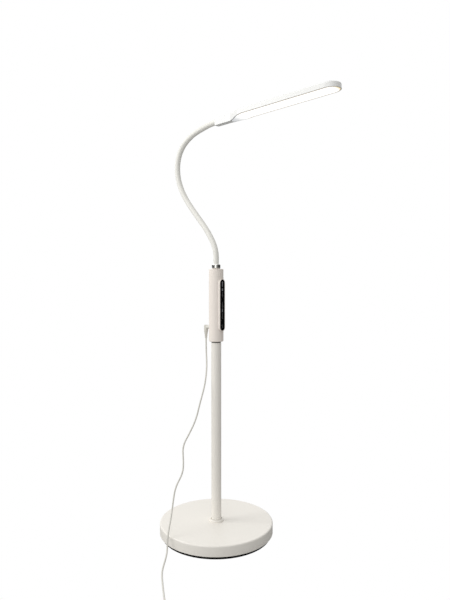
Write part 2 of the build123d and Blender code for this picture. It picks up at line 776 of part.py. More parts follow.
def make_neck_ferrule():
    """Bright ring nut between the housing and the neck."""
    with BuildPart() as ferrule:
        with BuildSketch(Plane.XY.offset(housing_top)):
            Circle(FERRULE_D / 2)
        extrude(amount=FERRULE_H)
        fillet(ferrule.edges().filter_by(GeomType.CIRCLE), FERRULE_SHOULDER_R)
        with BuildSketch(Plane.XY.offset(housing_top)):
            Circle(NIPPLE_D / 2 + FIT)
        extrude(amount=FERRULE_H, mode=Mode.SUBTRACT)
        with BuildSketch(Plane.XY.offset(nipple_top)):
            Circle(NECK_D / 2 + FIT)
        extrude(amount=FERRULE_H, mode=Mode.SUBTRACT)
    keep(ferrule, "neck_ferrule")


def make_neck_nipple():
    """Threaded tube through the cap, which the ferrule and lock nut clamp."""
    with BuildPart() as nipple:
        with BuildSketch(Plane.XY.offset(housing_top - NIPPLE_DROP)):
            Circle(NIPPLE_D / 2)
            Circle(NIPPLE_BORE / 2, mode=Mode.SUBTRACT)
        extrude(amount=NIPPLE_DROP + NIPPLE_RISE)
    keep(nipple, "neck_nipple")


def make_lock_washer():
    """Washer under the cap."""
    with BuildPart() as washer:
        with BuildSketch(Plane.XY.offset(body_top - LOCK_WASHER_T)):
            Circle(LOCK_WASHER_D / 2)
            Circle(NIPPLE_D / 2 + FIT, mode=Mode.SUBTRACT)
        extrude(amount=LOCK_WASHER_T)
    keep(washer, "lock_washer")


def make_lock_nut():
    """Hexagon nut that clamps the neck's nipple to the cap."""
    with BuildPart() as nut:
        with BuildSketch(Plane.XY.offset(body_top - LOCK_WASHER_T - LOCK_NUT_H)):
            RegularPolygon(LOCK_NUT_AF / 2, 6, major_radius=False)
            Circle(NIPPLE_D / 2 + FIT, mode=Mode.SUBTRACT)
        extrude(amount=LOCK_NUT_H)
    keep(nut, "lock_nut")


def make_neck_lead():
    """Lead from the board's connector up through the nipple into the neck."""
    start_x = board_back_x - CONNECTOR_T / 2
    start_z = panel_z + lead_connector_y() + CONNECTOR_H / 2
    path_points = [
        (start_x, 0, start_z),
        (start_x, 0, start_z + NECK_LEAD_RISE),
        (0, 0, body_top - NECK_LEAD_MEET),
        (0, 0, first_joint_z - NECK_LEAD_END),
    ]
    with BuildPart() as lead:
        with BuildLine() as path:
            FilletPolyline(*path_points, radius=NECK_LEAD_R)
        with BuildSketch(Plane(origin=path_points[0], z_dir=(0, 0, 1))):
            Circle(NECK_LEAD_D / 2)
        sweep(path=path.wires()[0])
    keep(lead, "neck_lead")


# ================================================================ lamp head


def head_plane():
    """The head's own plane: x towards the tip, z up through the head's thickness."""
    x, z, lean = tail_station()
    up = (-cos(radians(lean)), 0, sin(radians(lean)))
    along = (sin(radians(lean)), 0, cos(radians(lean)))
    origin = (x - NECK_AXIS_W * up[0], 0, z - NECK_AXIS_W * up[2])
    return Plane(origin=origin, x_dir=along, z_dir=up)


def shoulder_waist(full, tail):
    """Point where the two arcs of the shoulder meet."""
    return ((SHOULDER_START + SHOULDER_END) / 2, (full + tail) / 2)


def head_outline():
    """Closed outline of the head seen from above, from the tail's end to the tip."""
    full, tail = HEAD_W / 2, TAIL_W / 2
    waist = shoulder_waist(full, tail)
    tip_centre = HEAD_LENGTH - full
    with BuildLine() as outline:
        Line((0, tail), (SHOULDER_START, tail))
        TangentArc((SHOULDER_START, tail), waist, tangent=(1, 0))
        TangentArc((SHOULDER_END, full), waist, tangent=(-1, 0))
        Line((SHOULDER_END, full), (tip_centre, full))
        mirror(about=Plane.XZ)
        ThreePointArc((tip_centre, full), (HEAD_LENGTH, 0), (tip_centre, -full))
        Line((0, tail), (0, -tail))
    make_face(outline.edges())


def window_outline(inset, start):
    """Outline of the light window: the head's, inset, with a round start at the tail."""
    full, tail = HEAD_W / 2 - inset, TAIL_W / 2 - inset
    run, rise = SHOULDER_END - SHOULDER_START, full - tail
    bend_r = (run**2 + rise**2) / (4 * rise)
    entry = start + WINDOW_NOSE
    lean = asin((entry - SHOULDER_START) / bend_r)
    spread = tail + bend_r * (1 - cos(lean))
    waist = shoulder_waist(full, tail)
    tip_centre = HEAD_LENGTH - HEAD_W / 2
    with BuildLine() as outline:
        TangentArc((entry, spread), waist, tangent=(cos(lean), sin(lean)))
        TangentArc((SHOULDER_END, full), waist, tangent=(-1, 0))
        Line((SHOULDER_END, full), (tip_centre, full))
        mirror(about=Plane.XZ)
        ThreePointArc((tip_centre, full), (tip_centre + full, 0), (tip_centre, -full))
        ThreePointArc((entry, spread), (start, 0), (entry, -spread))
    make_face(outline.edges())


def underside_height(length):
    """Height of the underside at a length from the tail's end."""
    if length < WINDOW_START:
        return -TAIL_DROP + (TAIL_DROP - WINDOW_DROP) * length / WINDOW_START
    if length < SHOULDER_END:
        return -WINDOW_DROP * (SHOULDER_END - length) / (SHOULDER_END - WINDOW_START)
    return 0.0


def underside(lift, start, end):
    """Side view of the underside from one length to another, raised by a lift."""
    marks = [start] + [mark for mark in (WINDOW_START, SHOULDER_END) if start < mark < end] + [end]
    return [(mark, underside_height(mark) + lift) for mark in marks]


def side_view(lower, upper):
    """Face between a lower and an upper line of points, both from tail to tip."""
    with BuildLine() as outline:
        Polyline(*lower, *reversed(upper), close=True)
    make_face(outline.edges())


def head_side_plane():
    """Upright plane through the head's length, for its side views."""
    flat = head_plane()
    return Plane(origin=flat.origin, x_dir=flat.x_dir, z_dir=-flat.y_dir)


def window_slab(inset, start, lower, upper):
    """Solid with the window's outline, between two lines of its side view."""
    with BuildPart() as slab:
        with BuildSketch(head_plane().offset(-HEAD_T)):
            window_outline(inset, start)
        extrude(amount=2 * HEAD_T)
        with BuildSketch(head_side_plane()):
            side_view(lower, upper)
        extrude(amount=HEAD_W, both=True, mode=Mode.INTERSECT)
    return slab.part


def window_ring(inset, width, start, lower, upper):
    """Upright ring that follows the window's outline, between two side-view lines."""
    outer = window_slab(inset, start, lower, upper)
    inner = window_slab(inset + width, start + width, lower, upper)
    with BuildPart() as ring:
        add(outer)
        add(inner, mode=Mode.SUBTRACT)
    return ring.part


def level(height, start=0):
    """Level line of the side view, from a length to past the tip."""
    return [(start, height), (HEAD_LENGTH + HEAD_WALL, height)]


def raised(lift, start=0):
    """The underside's line raised by a lift, from a length to past the tip."""
    return underside(lift, start, HEAD_LENGTH + HEAD_WALL)


def make_head_shell():
    """White upper shell with the tail that holds the neck, open below."""
    flat = head_plane()
    through, along = Axis(flat.origin, flat.z_dir), Axis(flat.origin, flat.x_dir)
    ceiling = HEAD_T - HEAD_WALL
    chamber_end = WINDOW_START + TAIL_CHAMBER_REACH
    hollow = window_slab(HEAD_WALL, WINDOW_START, level(-HEAD_T), level(ceiling))
    with BuildPart() as shell:
        with BuildSketch(flat.offset(-TAIL_DROP)):
            head_outline()
        extrude(amount=HEAD_T + TAIL_DROP)
        fillet(shell.edges().filter_by(through).sort_by(along)[:2], TAIL_CORNER_R)
        with BuildSketch(head_side_plane()):
            side_view(raised(0), level(HEAD_T))
        extrude(amount=HEAD_W, both=True, mode=Mode.INTERSECT)
        fillet(shell.faces().sort_by(through)[-1].edges(), HEAD_EDGE_R)
        add(hollow, mode=Mode.SUBTRACT)
        with BuildSketch(head_side_plane()):
            side_view(
                underside(HEAD_WALL, TAIL_BLOCK, chamber_end),
                [(TAIL_BLOCK, ceiling), (chamber_end, ceiling)],
            )
        extrude(amount=TAIL_W / 2 - HEAD_WALL, both=True, mode=Mode.SUBTRACT)
        with BuildSketch(across_neck(tail_station())):
            Circle(TAIL_SPIGOT_D / 2 + FIT)
        extrude(amount=TAIL_SEAT, mode=Mode.SUBTRACT)
        with BuildSketch(across_neck(tail_station())):
            Circle(BUSH_SHANK_D / 2 + FIT)
        extrude(amount=TAIL_BLOCK, mode=Mode.SUBTRACT)
    keep(shell, "head_shell")


def make_head_diffuser():
    """Milky plate under the lights, with a lip that clips into the shell."""
    inset, start = HEAD_WALL + SHADOW_GAP, WINDOW_START + SHADOW_GAP
    plate = window_slab(inset, start, raised(-DIFFUSER_PROUD), raised(diffuser_top))
    low, high = raised(diffuser_top - LIP_ROOT, LIP_START), raised(diffuser_top + LIP_H, LIP_START)
    lip = window_ring(HEAD_WALL + SLIP, LIP_T, WINDOW_START, low, high)
    with BuildPart() as diffuser:
        add(plate)
        add(lip)
    keep(diffuser, "head_diffuser")


def led_board_bottom():
    """Height of the light board's lower face."""
    return HEAD_T - HEAD_WALL - TAPE_T - LED_BOARD_T


def make_light_mixer():
    """White frame between the diffuser and the light board, round the lights."""
    inset = HEAD_WALL + LIP_T + 2 * SLIP
    low, high = raised(diffuser_top, LIP_START), level(led_board_bottom(), LIP_START)
    with BuildPart() as mixer:
        add(window_ring(inset, MIXER_T, WINDOW_START, low, high))
    keep(mixer, "light_mixer")


def light_board_outline(inset):
    """Light board seen from above: square at the tail, round at the tip."""
    half = LED_BOARD_W / 2 - inset
    tip_centre = HEAD_LENGTH - HEAD_W / 2
    start = LED_BOARD_START + inset
    with BuildLine() as outline:
        Line((tip_centre, -half), (start, -half))
        Line((start, -half), (start, half))
        Line((start, half), (tip_centre, half))
        ThreePointArc((tip_centre, half), (tip_centre + half, 0), (tip_centre, -half))
    make_face(outline.edges())


def make_led_board():
    """Aluminium board that carries the lights under the shell's ceiling."""
    with BuildPart() as board:
        with BuildSketch(head_plane().offset(led_board_bottom())):
            light_board_outline(0)
        extrude(amount=LED_BOARD_T)
    keep(board, "led_board")


def make_board_tape():
    """Adhesive tape between the light board and the shell."""
    with BuildPart() as tape:
        with BuildSketch(head_plane().offset(led_board_bottom() + LED_BOARD_T)):
            light_board_outline(TAPE_INSET)
        extrude(amount=TAPE_T)
    keep(tape, "board_tape")


def make_led_chips():
    """Two rows of light-emitting chips under the board."""
    pitch = (led_end - LED_START) / (LED_COUNT - 1)
    with BuildPart() as chips:
        with BuildSketch(head_plane().offset(led_board_bottom() - LED_T)):
            with Locations(((LED_START + led_end) / 2, 0)):
                with GridLocations(pitch, LED_ROW_GAP, LED_COUNT, 2):
                    Rectangle(LED_L, LED_W)
        extrude(amount=LED_T)
    keep(chips, "led_chips")


def make_end_bush():
    """Flanged bush in the neck's end: its flange stops behind the tail's wall."""
    tail = tail_station()
    with BuildPart() as bush:
        with BuildSketch(across_neck(step_along(tail, TAIL_SEAT - BUSH_GRIP, 0))):
            Circle(BUSH_SHANK_D / 2)
        extrude(amount=BUSH_GRIP + TAIL_BLOCK - TAIL_SEAT)
        with BuildSketch(across_neck(step_along(tail, TAIL_BLOCK, 0))):
            Circle(BUSH_FLANGE_D / 2)
        extrude(amount=BUSH_FLANGE_T)
        with BuildSketch(across_neck(tail)):
            Circle(BUSH_BORE / 2)
        extrude(amount=2 * TAIL_BLOCK, mode=Mode.SUBTRACT)
    keep(bush, "end_bush")


def make_head_lead():
    """Lead from the neck's end bush to the light board."""
    start = TAIL_SEAT - BUSH_GRIP / 2
    under_board = led_board_bottom() - HEAD_LEAD_D / 2 - FIT
    route = [
        (start, NECK_AXIS_W),
        (WINDOW_START, NECK_AXIS_W),
        (WINDOW_START + HEAD_LEAD_CLIMB, under_board),
        (LED_START - LED_L, under_board),
    ]
    flat = head_plane()
    points = [flat.from_local_coords((along, 0, height)) for along, height in route]
    with BuildPart() as lead:
        with BuildLine() as path:
            FilletPolyline(*points, radius=HEAD_LEAD_R)
        with BuildSketch(across_neck(step_along(tail_station(), start, 0))):
            Circle(HEAD_LEAD_D / 2)
        sweep(path=path.wires()[0])
    keep(lead, "head_lead")


# ================================================================ lead, coil and adapter

floor_z = CORD_D / 2
coil_z = COIL_REST + CORD_D / 2
coil_outer_r = COIL_INNER_R + 3 * COIL_PITCH / 2

# The lead's corners: down from the plug, past the rim of the base, over the floor.
CORD_ROUTE = [
    (-PLUG_AXIS_X, 0, plug_bottom()),
    (-PLUG_AXIS_X, 0, 412),
    (-22.0, -9.0, 376),
    (-15.5, -20.0, 338),
    (-19.5, -32.0, 300),
    (-22.5, -42.0, 264),
    (-32.5, -52.0, 234),
    (-46.0, -61.0, 204),
    (-36.0, -70.0, 176),
    (-31.0, -79.0, 152),
    (-43.0, -90.0, 122),
    (-43.5, -100.0, 94),
    (-36.5, -113.0, 66),
    (-27.0, -128.0, 44),
    (-21.5, -134.5, 24),
    (-17.0, -139.5, 8.0),
    (-5.5, -155.0, floor_z),
    (14.0, -182.0, floor_z),
    (30.5, -203.0, floor_z),
    (52.0, -223.5, floor_z),
    (77.0, -246.0, floor_z),
    (102.5, -268.5, floor_z),
    (130.1, -291.6, coil_z),
]
COIL_START = (145.2, -310.3)    # where the lead starts to turn
COIL_HEADING = -51.0            # its direction there, in degrees from +X
# Each layer of the coil: radius steps per half turn, and number of half turns.
COIL_LAYERS = ((-1, 3), (1, 3), (-1, 3), (1, 2))
COIL_TAIL = (10.6, 14.0, 10.6)  # runs from the coil to the adapter's relief


def bend_radii(points):
    """Radius of each bend of a route: it takes most of the shorter run beside it."""
    radii = []
    for before, corner, after in zip(points, points[1:], points[2:]):
        arrive = Vector(corner) - Vector(before)
        leave = Vector(after) - Vector(corner)
        turn = radians(arrive.get_angle(leave))
        radii.append(BEND_SHARE * min(arrive.length, leave.length) / tan(turn / 2))
    return radii


def report_tube(name, path, solid):
    """Print a tube's length, and its volume against section times length."""
    expected = path.length * Circle(CORD_D / 2, mode=Mode.PRIVATE).area
    print(name, "length", round(path.length, 1), "volume ratio", round(solid.volume / expected, 4))


def make_cord_run(points, name):
    """One stretch of the lead: straight runs with rounded corners."""
    radii = bend_radii(points)
    print(name, "radii", [round(radius, 1) for radius in radii])
    with BuildPart() as cord:
        with BuildLine() as path:
            FilletPolyline(*points, radius=radii)
        with BuildSketch(Plane(origin=points[0], z_dir=Vector(points[1]) - Vector(points[0]))):
            Circle(CORD_D / 2)
        sweep(path=path.wires()[0])
    report_tube(name, path.wires()[0], cord.part)
    keep(cord, name)


def coil_plane():
    """Coil's plane: x towards where the lead comes in, y the way that it goes there."""
    heading = radians(COIL_HEADING)
    inward = Vector(-sin(heading), cos(heading), 0)
    origin = Vector(*COIL_START, coil_z) + inward * coil_outer_r
    return Plane(origin=origin, x_dir=inward * -1, z_dir=(0, 0, 1))


def coil_point(x, y, z):
    """Point given in the coil's plane."""
    return coil_plane().from_local_coords((x, y, z))


def flat_half_turn(side, radius, end_radius, z):
    """Half turn in one layer, from one side of the coil to the other."""
    ThreePointArc(
        coil_point(side * radius, 0, z),
        coil_point(side * (radius - end_radius) / 2, side * (radius + end_radius) / 2, z),
        coil_point(-side * end_radius, 0, z),
    )


def climbing_half_turn(side, radius, z):
    """Half turn that climbs one layer: two tilted arcs with a shared tangent."""
    rise = COIL_LAYER / 2
    start, end = coil_point(side * radius, 0, z), coil_point(-side * radius, 0, z + 2 * rise)
    middle = coil_point(0, side * sqrt(radius**2 + rise**2), z + rise)
    at_start = coil_plane().y_dir * side
    at_middle = coil_plane().x_dir * (-side * radius) + Vector(0, 0, rise)
    TangentArc(start, middle, tangent=at_start)
    TangentArc(middle, end, tangent=at_middle)


def coil_exit():
    """Shift, radius and height of the last quarter turn, which goes on outwards."""
    steps = sum(step * half_turns for step, half_turns in COIL_LAYERS)
    shift = COIL_PITCH / 4
    return shift, coil_outer_r + steps * COIL_PITCH / 2 + shift, (len(COIL_LAYERS) - 1) * COIL_LAYER


def coil_line():
    """Middle line of the coil, from the free stretch to the tail."""
    radius, side = coil_outer_r, 1
    Line(coil_point(radius, -CORD_D, 0), coil_point(radius, 0, 0))
    for layer, (step, half_turns) in enumerate(COIL_LAYERS):
        z = layer * COIL_LAYER
        for _ in range(half_turns):
            end_radius = radius + step * COIL_PITCH / 2
            flat_half_turn(side, radius, end_radius, z)
            side, radius = -side, end_radius
        if layer < len(COIL_LAYERS) - 1:
            climbing_half_turn(side, radius, z)
            side = -side
    shift, exit_radius, z = coil_exit()
    diagonal = exit_radius / sqrt(2)
    ThreePointArc(
        coil_point(radius, 0, z),
        coil_point(diagonal - shift, diagonal, z),
        coil_point(-shift, exit_radius, z),
    )
    Line(coil_point(-shift, exit_radius, z), coil_point(-shift - CORD_D, exit_radius, z))


def least_gap(path):
    """Least gap between two turns of a wound tube, from places 1 mm apart."""
    count = int(path.length)
    places = [path.position_at(number / count) for number in range(count + 1)]
    pairs = ((a, b) for i, a in enumerate(places) for b in places[i + SAME_TURN :])
    return min((a - b).length for a, b in pairs) - CORD_D


def make_cord_coil():
    """Spare length of the lead, wound in four layers as one unbroken tube."""
    with BuildPart() as coil:
        with BuildLine() as path:
            coil_line()
        with BuildSketch(Plane(origin=coil_point(coil_outer_r, -CORD_D, 0), z_dir=coil_plane().y_dir)):
            Circle(CORD_D / 2)
        sweep(path=path.wires()[0])
    wire = path.wires()[0]
    print("cord_coil least gap", round(least_gap(wire), 2))
    report_tube("cord_coil", wire, coil.part)
    keep(coil, "cord_coil")


def tail_points():
    """Corners of the lead from the coil to the tip of the adapter's relief."""
    shift, radius, z = coil_exit()
    start, adapter_z = -shift - CORD_D, ADAPTER_H / 2 - coil_z
    first, second, third = COIL_TAIL
    return [
        coil_point(start, radius, z),
        coil_point(start - first, radius, z),
        coil_point(start - first - second, radius, adapter_z),
        coil_point(start - first - second - third, radius, adapter_z),
    ]


def make_coil_tie():
    """Band round one side of the coil."""
    rim = CORD_D / 2 + TIE_PLAY
    inner_x = COIL_INNER_R - rim - TIE_W**2 / (8 * COIL_INNER_R)
    outer_x = coil_outer_r + rim
    top = COIL_REST + CORD_D + (len(COIL_LAYERS) - 1) * COIL_LAYER + TIE_PLAY
    flat = coil_plane()
    middle = flat.origin - flat.x_dir * ((inner_x + outer_x) / 2)
    across = Plane(origin=(middle.X, middle.Y, 0), x_dir=flat.x_dir, z_dir=flat.y_dir)
    with BuildPart() as tie:
        with BuildSketch(across):
            with Locations((0, -(top + TIE_T) / 2)):
                Rectangle(outer_x - inner_x + 2 * TIE_T, top + TIE_T)
            with Locations((0, -(top + TIE_T) / 2)):
                Rectangle(outer_x - inner_x, top - TIE_T, mode=Mode.SUBTRACT)
        extrude(amount=TIE_W / 2, both=True)
    keep(tie, "coil_tie")


def adapter_plane(depth):
    """Upright plane at a depth from the adapter's middle towards its pins."""
    flat = coil_plane()
    tip = Vector(tail_points()[-1])
    middle = tip - flat.x_dir * (RELIEF_L + ADAPTER_L / 2)
    origin = Vector(middle.X, middle.Y, ADAPTER_H / 2) + flat.y_dir * depth
    return Plane(origin=origin, x_dir=flat.x_dir * -1, z_dir=flat.y_dir)


def make_adapter_case():
    """Hollow case of the plug-in adapter, with the lead's tapered bend relief."""
    half = ADAPTER_DEPTH / 2
    tip = Vector(tail_points()[-1])
    along = coil_plane().x_dir * -1
    with BuildPart() as case:
        with BuildSketch(adapter_plane(-half)):
            RectangleRounded(ADAPTER_L, ADAPTER_H, ADAPTER_EDGE_R)
        extrude(amount=ADAPTER_DEPTH - ADAPTER_LID_T)
        back = case.faces().sort_by(Axis(adapter_plane(0).origin, adapter_plane(0).z_dir))[0]
        fillet(back.edges(), ADAPTER_EDGE_R - SLIP)
        with BuildSketch(Plane(origin=tip, z_dir=along)):
            Circle(RELIEF_TIP_D / 2)
        with BuildSketch(Plane(origin=tip + along * RELIEF_L, z_dir=along)):
            Circle(RELIEF_D / 2)
        loft()
        with BuildSketch(adapter_plane(ADAPTER_WALL - half)):
            Rectangle(ADAPTER_L - 2 * ADAPTER_WALL, ADAPTER_H - 2 * ADAPTER_WALL)
        extrude(amount=ADAPTER_DEPTH - ADAPTER_LID_T - ADAPTER_WALL, mode=Mode.SUBTRACT)
    keep(case, "adapter_case")


def make_adapter_lid():
    """Front of the adapter, with the holes for its pins."""
    half = ADAPTER_DEPTH / 2
    with BuildPart() as lid:
        with BuildSketch(adapter_plane(half - ADAPTER_LID_T)):
            RectangleRounded(ADAPTER_L, ADAPTER_H, ADAPTER_EDGE_R)
        extrude(amount=ADAPTER_LID_T)
        front = lid.faces().sort_by(Axis(adapter_plane(0).origin, adapter_plane(0).z_dir))[-1]
        fillet(front.edges(), ADAPTER_EDGE_R - SLIP)
        with BuildSketch(adapter_plane(half - PIN_ROOT)):
            with GridLocations(1, PIN_SPACING, 1, 2):
                Circle(PIN_SLEEVE_D / 2 + FIT)
        extrude(amount=PIN_ROOT, mode=Mode.SUBTRACT)
    keep(lid, "adapter_lid")


def make_adapter_pins():
    """Two mains pins, sleeved near the lid."""
    half = ADAPTER_DEPTH / 2
    with BuildPart() as pins:
        with BuildSketch(adapter_plane(half - PIN_ROOT)):
            with GridLocations(1, PIN_SPACING, 1, 2):
                Circle(PIN_SLEEVE_D / 2)
        extrude(amount=PIN_ROOT + PIN_SLEEVE_L)
        with BuildSketch(adapter_plane(half + PIN_SLEEVE_L)):
            with GridLocations(1, PIN_SPACING, 1, 2):
                Circle(PIN_D / 2)
        extrude(amount=PIN_L - PIN_SLEEVE_L)
        ends = pins.faces().sort_by(Axis(adapter_plane(0).origin, adapter_plane(0).z_dir))[-2:]
        chamfer(ends.edges(), PIN_POINT)
    keep(pins, "adapter_pins")


def make_adapter_board():
    """Mains board with transformer and capacitor, held by the walls of the case."""
    with BuildPart() as board:
        with BuildSketch(adapter_plane(MAINS_BOARD_X)):
            Rectangle(ADAPTER_L - 2 * ADAPTER_WALL - 2 * FIT, ADAPTER_H - 2 * ADAPTER_WALL - 2 * FIT)
        extrude(amount=MAINS_BOARD_T)
        with BuildSketch(adapter_plane(MAINS_BOARD_X - TRANSFORMER_T)):
            with Locations((TRANSFORMER_SHIFT, 0)):
                Rectangle(TRANSFORMER_L, TRANSFORMER_W)
        extrude(amount=TRANSFORMER_T)
        with BuildSketch(adapter_plane(MAINS_BOARD_X - CAPACITOR_H)):
            with Locations((-CAPACITOR_SHIFT, 0)):
                Circle(CAPACITOR_D / 2)
        extrude(amount=CAPACITOR_H)
    keep(board, "adapter_board")


# ================================================================ all pieces

make_base_cover()
make_base_weight()
make_base_plate()
make_base_pad()
make_pole_bolt()
make_bolt_washer()
make_pole_collar()
make_pole_tube()
make_pole_foot_plug()
make_pole_head_plug()
make_housing_body()
make_housing_socket()
make_housing_cap()
make_panel_frame()
make_touch_panel()
make_touch_springs()
make_control_board()
make_board_parts()
make_board_screws()
make_dc_jack()
make_jack_nut()
make_jack_wires()
make_plug_barrel()
make_dc_plug()
make_neck_foot()
make_neck_links()
make_neck_top()
make_neck_ferrule()
make_neck_nipple()
make_lock_washer()
make_lock_nut()
make_neck_lead()
make_head_shell()
make_head_diffuser()
make_light_mixer()
make_led_board()
make_board_tape()
make_led_chips()
make_end_bush()
make_head_lead()
make_cord_run(CORD_ROUTE + [coil_point(coil_outer_r, -CORD_D, 0)], "cord")
make_cord_coil()
make_cord_run(tail_points(), "cord_end")
make_coil_tie()
make_adapter_case()
make_adapter_lid()
make_adapter_pins()
make_adapter_board()
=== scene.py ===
# %% [markdown]
# # A gooseneck reading floor lamp
# The lamp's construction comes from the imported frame: every piece is there at its
# real size, in metres, standing on the floor at the origin with its light head
# pointing along +X.  This lesson gives those pieces their finishes, draws the
# low-voltage lead, lays the soft sleeve over the neck, prints the panel's marks and
# lights the whole.

# %% Load the frame
import json
from math import atan2, cos, degrees, pi, radians, sin, sqrt

import bmesh
import bpy
from mathutils import Matrix, Vector


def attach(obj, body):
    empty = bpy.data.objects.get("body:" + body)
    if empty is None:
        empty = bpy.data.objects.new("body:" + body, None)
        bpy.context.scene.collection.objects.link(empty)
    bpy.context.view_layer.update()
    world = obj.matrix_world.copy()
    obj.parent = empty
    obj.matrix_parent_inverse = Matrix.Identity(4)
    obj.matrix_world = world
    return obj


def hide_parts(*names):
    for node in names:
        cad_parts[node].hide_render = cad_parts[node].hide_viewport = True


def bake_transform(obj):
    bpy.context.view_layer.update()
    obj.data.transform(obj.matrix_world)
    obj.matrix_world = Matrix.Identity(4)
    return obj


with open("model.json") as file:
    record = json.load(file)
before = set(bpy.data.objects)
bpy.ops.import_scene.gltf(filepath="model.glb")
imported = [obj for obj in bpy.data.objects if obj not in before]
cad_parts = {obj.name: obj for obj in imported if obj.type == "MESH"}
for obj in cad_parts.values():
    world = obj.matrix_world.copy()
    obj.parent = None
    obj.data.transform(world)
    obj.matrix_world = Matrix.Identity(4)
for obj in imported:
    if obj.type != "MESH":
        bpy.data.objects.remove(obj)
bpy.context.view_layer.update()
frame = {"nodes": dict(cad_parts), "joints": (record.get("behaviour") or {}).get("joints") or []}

nodes = frame["nodes"]

# %% [markdown]
# ## Camera
# The photograph looks slightly down on the lamp from the front and its right side.
# A camera is set by where it stands, which way it faces and its focal length: the
# place and the angles here bring foot, pole, head and lead to the spots where the
# photograph has them.

# %% Camera
CAMERA_PLACE = (0.8467, -1.0148, 0.6040)
CAMERA_TURN = radians(39.0)         # the way it faces, from +Y round towards -X
CAMERA_DIP = 0.06                   # radians below level
CAMERA_LENS = 36.2                  # mm, on a sensor 36 mm high

camera_data = bpy.data.cameras.new("camera")
camera_data.lens = CAMERA_LENS
camera_data.sensor_width = 36.0
camera = bpy.data.objects.new("camera", camera_data)
camera.location = CAMERA_PLACE
camera.rotation_euler = (radians(90.0) - CAMERA_DIP, 0.0, CAMERA_TURN)
bpy.context.scene.collection.objects.link(camera)
bpy.context.scene.camera = camera
print("camera: lens", CAMERA_LENS, "mm")

# %% [markdown]
# ## Colours and nodes
# Colours are chosen as they look on a screen, in sRGB, and Blender computes in
# linear light, so one function turns a hex value into linear numbers.  A second
# small function adds a shader node with its settings and its links; every material
# below is written with it.  The others start a material, give it a grain, let its
# tone or its roughness wander, and blend two tones.

# %% Helpers for colours and materials
NOISE_LOW, NOISE_HIGH = 0.3, 0.7    # noise where a tone ramp starts and ends


def colour(code):
    """sRGB hex value, such as "#E4E1DA", as linear red, green, blue and alpha."""
    channels = [int(code[place:place + 2], 16) / 255 for place in (1, 3, 5)]
    return [c / 12.92 if c <= 0.04045 else ((c + 0.055) / 1.055) ** 2.4 for c in channels] + [1.0]


def add_node(tree, kind, settings=(), inputs=()):
    """Add a node; an input is a value, or a (node, output) pair that is linked."""
    new = tree.nodes.new(kind)
    for name, value in dict(settings).items():
        setattr(new, name, value)
    for name, value in dict(inputs).items():
        if isinstance(value, tuple) and isinstance(value[0], bpy.types.Node):
            tree.links.new(value[0].outputs[value[1]], new.inputs[name])
        else:
            new.inputs[name].default_value = value
    return new


def start_material(name, base, roughness, **sockets):
    """New material with its shader; returns material, node tree and shader."""
    material = bpy.data.materials.new(name)
    material.use_nodes = True
    tree = material.node_tree
    shader = tree.nodes["Principled BSDF"]
    shader.inputs["Base Color"].default_value = colour(base)
    shader.inputs["Roughness"].default_value = roughness
    for socket, value in sockets.items():
        shader.inputs[socket.replace("_", " ")].default_value = value
    return material, tree, shader


def grain(tree, shader, size_mm, depth_mm, detail=2.0):
    """Fine bumps of a real size: one noise cell is about size_mm wide."""
    place = add_node(tree, "ShaderNodeTexCoord")
    noise = add_node(tree, "ShaderNodeTexNoise", {}, {
        "Vector": (place, "Object"), "Scale": 1000.0 / size_mm, "Detail": detail})
    bump = add_node(tree, "ShaderNodeBump", {}, {
        "Height": (noise, "Fac"), "Strength": 1.0, "Distance": depth_mm / 1000.0})
    tree.links.new(bump.outputs["Normal"], shader.inputs["Normal"])
    return noise


def mottle(tree, shader, noise, light, dark):
    """Colour that wanders a little between two tones, with the noise given."""
    ramp = add_node(tree, "ShaderNodeValToRGB", {}, {"Fac": (noise, "Fac")})
    ramp.color_ramp.elements[0].color = colour(dark)
    ramp.color_ramp.elements[1].color = colour(light)
    ramp.color_ramp.elements[0].position = NOISE_LOW
    ramp.color_ramp.elements[1].position = NOISE_HIGH
    tree.links.new(ramp.outputs["Color"], shader.inputs["Base Color"])


def vary_roughness(tree, shader, noise, low, high):
    """Roughness that wanders between two values, with the noise given."""
    spread = add_node(tree, "ShaderNodeMapRange", {}, {
        "Value": (noise, "Fac"), "To Min": low, "To Max": high})
    tree.links.new(spread.outputs["Result"], shader.inputs["Roughness"])


def blend_tones(tree, factor, first, second):
    """Colour between two tones; a tone is a hex value or the output of a node."""
    mix = add_node(tree, "ShaderNodeMix", {"data_type": "RGBA"}, {0: factor})
    for socket, tone in ((mix.inputs[6], first), (mix.inputs[7], second)):
        if isinstance(tone, str):
            socket.default_value = colour(tone)
        else:
            tree.links.new(tone, socket)
    return mix.outputs[2]


print("helpers ready")

# %% [markdown]
# ## Finishes
# The base, the pole and the collar are steel with a warm white powder coat: baked
# plastic powder that leaves a very fine orange-peel skin and a soft sheen.  The
# control housing is moulded ABS with a satin texture, and the head and the adapter
# are glossier ABS.

# %% Powder coat and moulded plastic
# Powder coat: baked powder gives a very fine orange peel and a broad, soft sheen.
powder_coat, tree, shader = start_material("powder_coated_steel", "#E3DFD8", 0.45, IOR=1.5)
skin = grain(tree, shader, 0.8, 0.02)
mottle(tree, shader, skin, "#E4E0D9", "#E1DDD5")

# Satin ABS: moulded against a fine spark-eroded wall, so highlights are wide and dim.
satin_abs, tree, shader = start_material("satin_moulded_abs", "#E5DDD5", 0.5, IOR=1.53)
skin = grain(tree, shader, 0.5, 0.012)
mottle(tree, shader, skin, "#E6DED6", "#E3DAD1")

# Gloss ABS: a polished mould gives cleaner, narrower highlights and a cooler white.
head_abs, tree, shader = start_material("gloss_moulded_abs", "#E2E2DF", 0.3, IOR=1.53)
skin = grain(tree, shader, 2.5, 0.002)
mottle(tree, shader, skin, "#E6E6E4", "#E2E2DF")

print("white finishes:", powder_coat.name, satin_abs.name, head_abs.name)

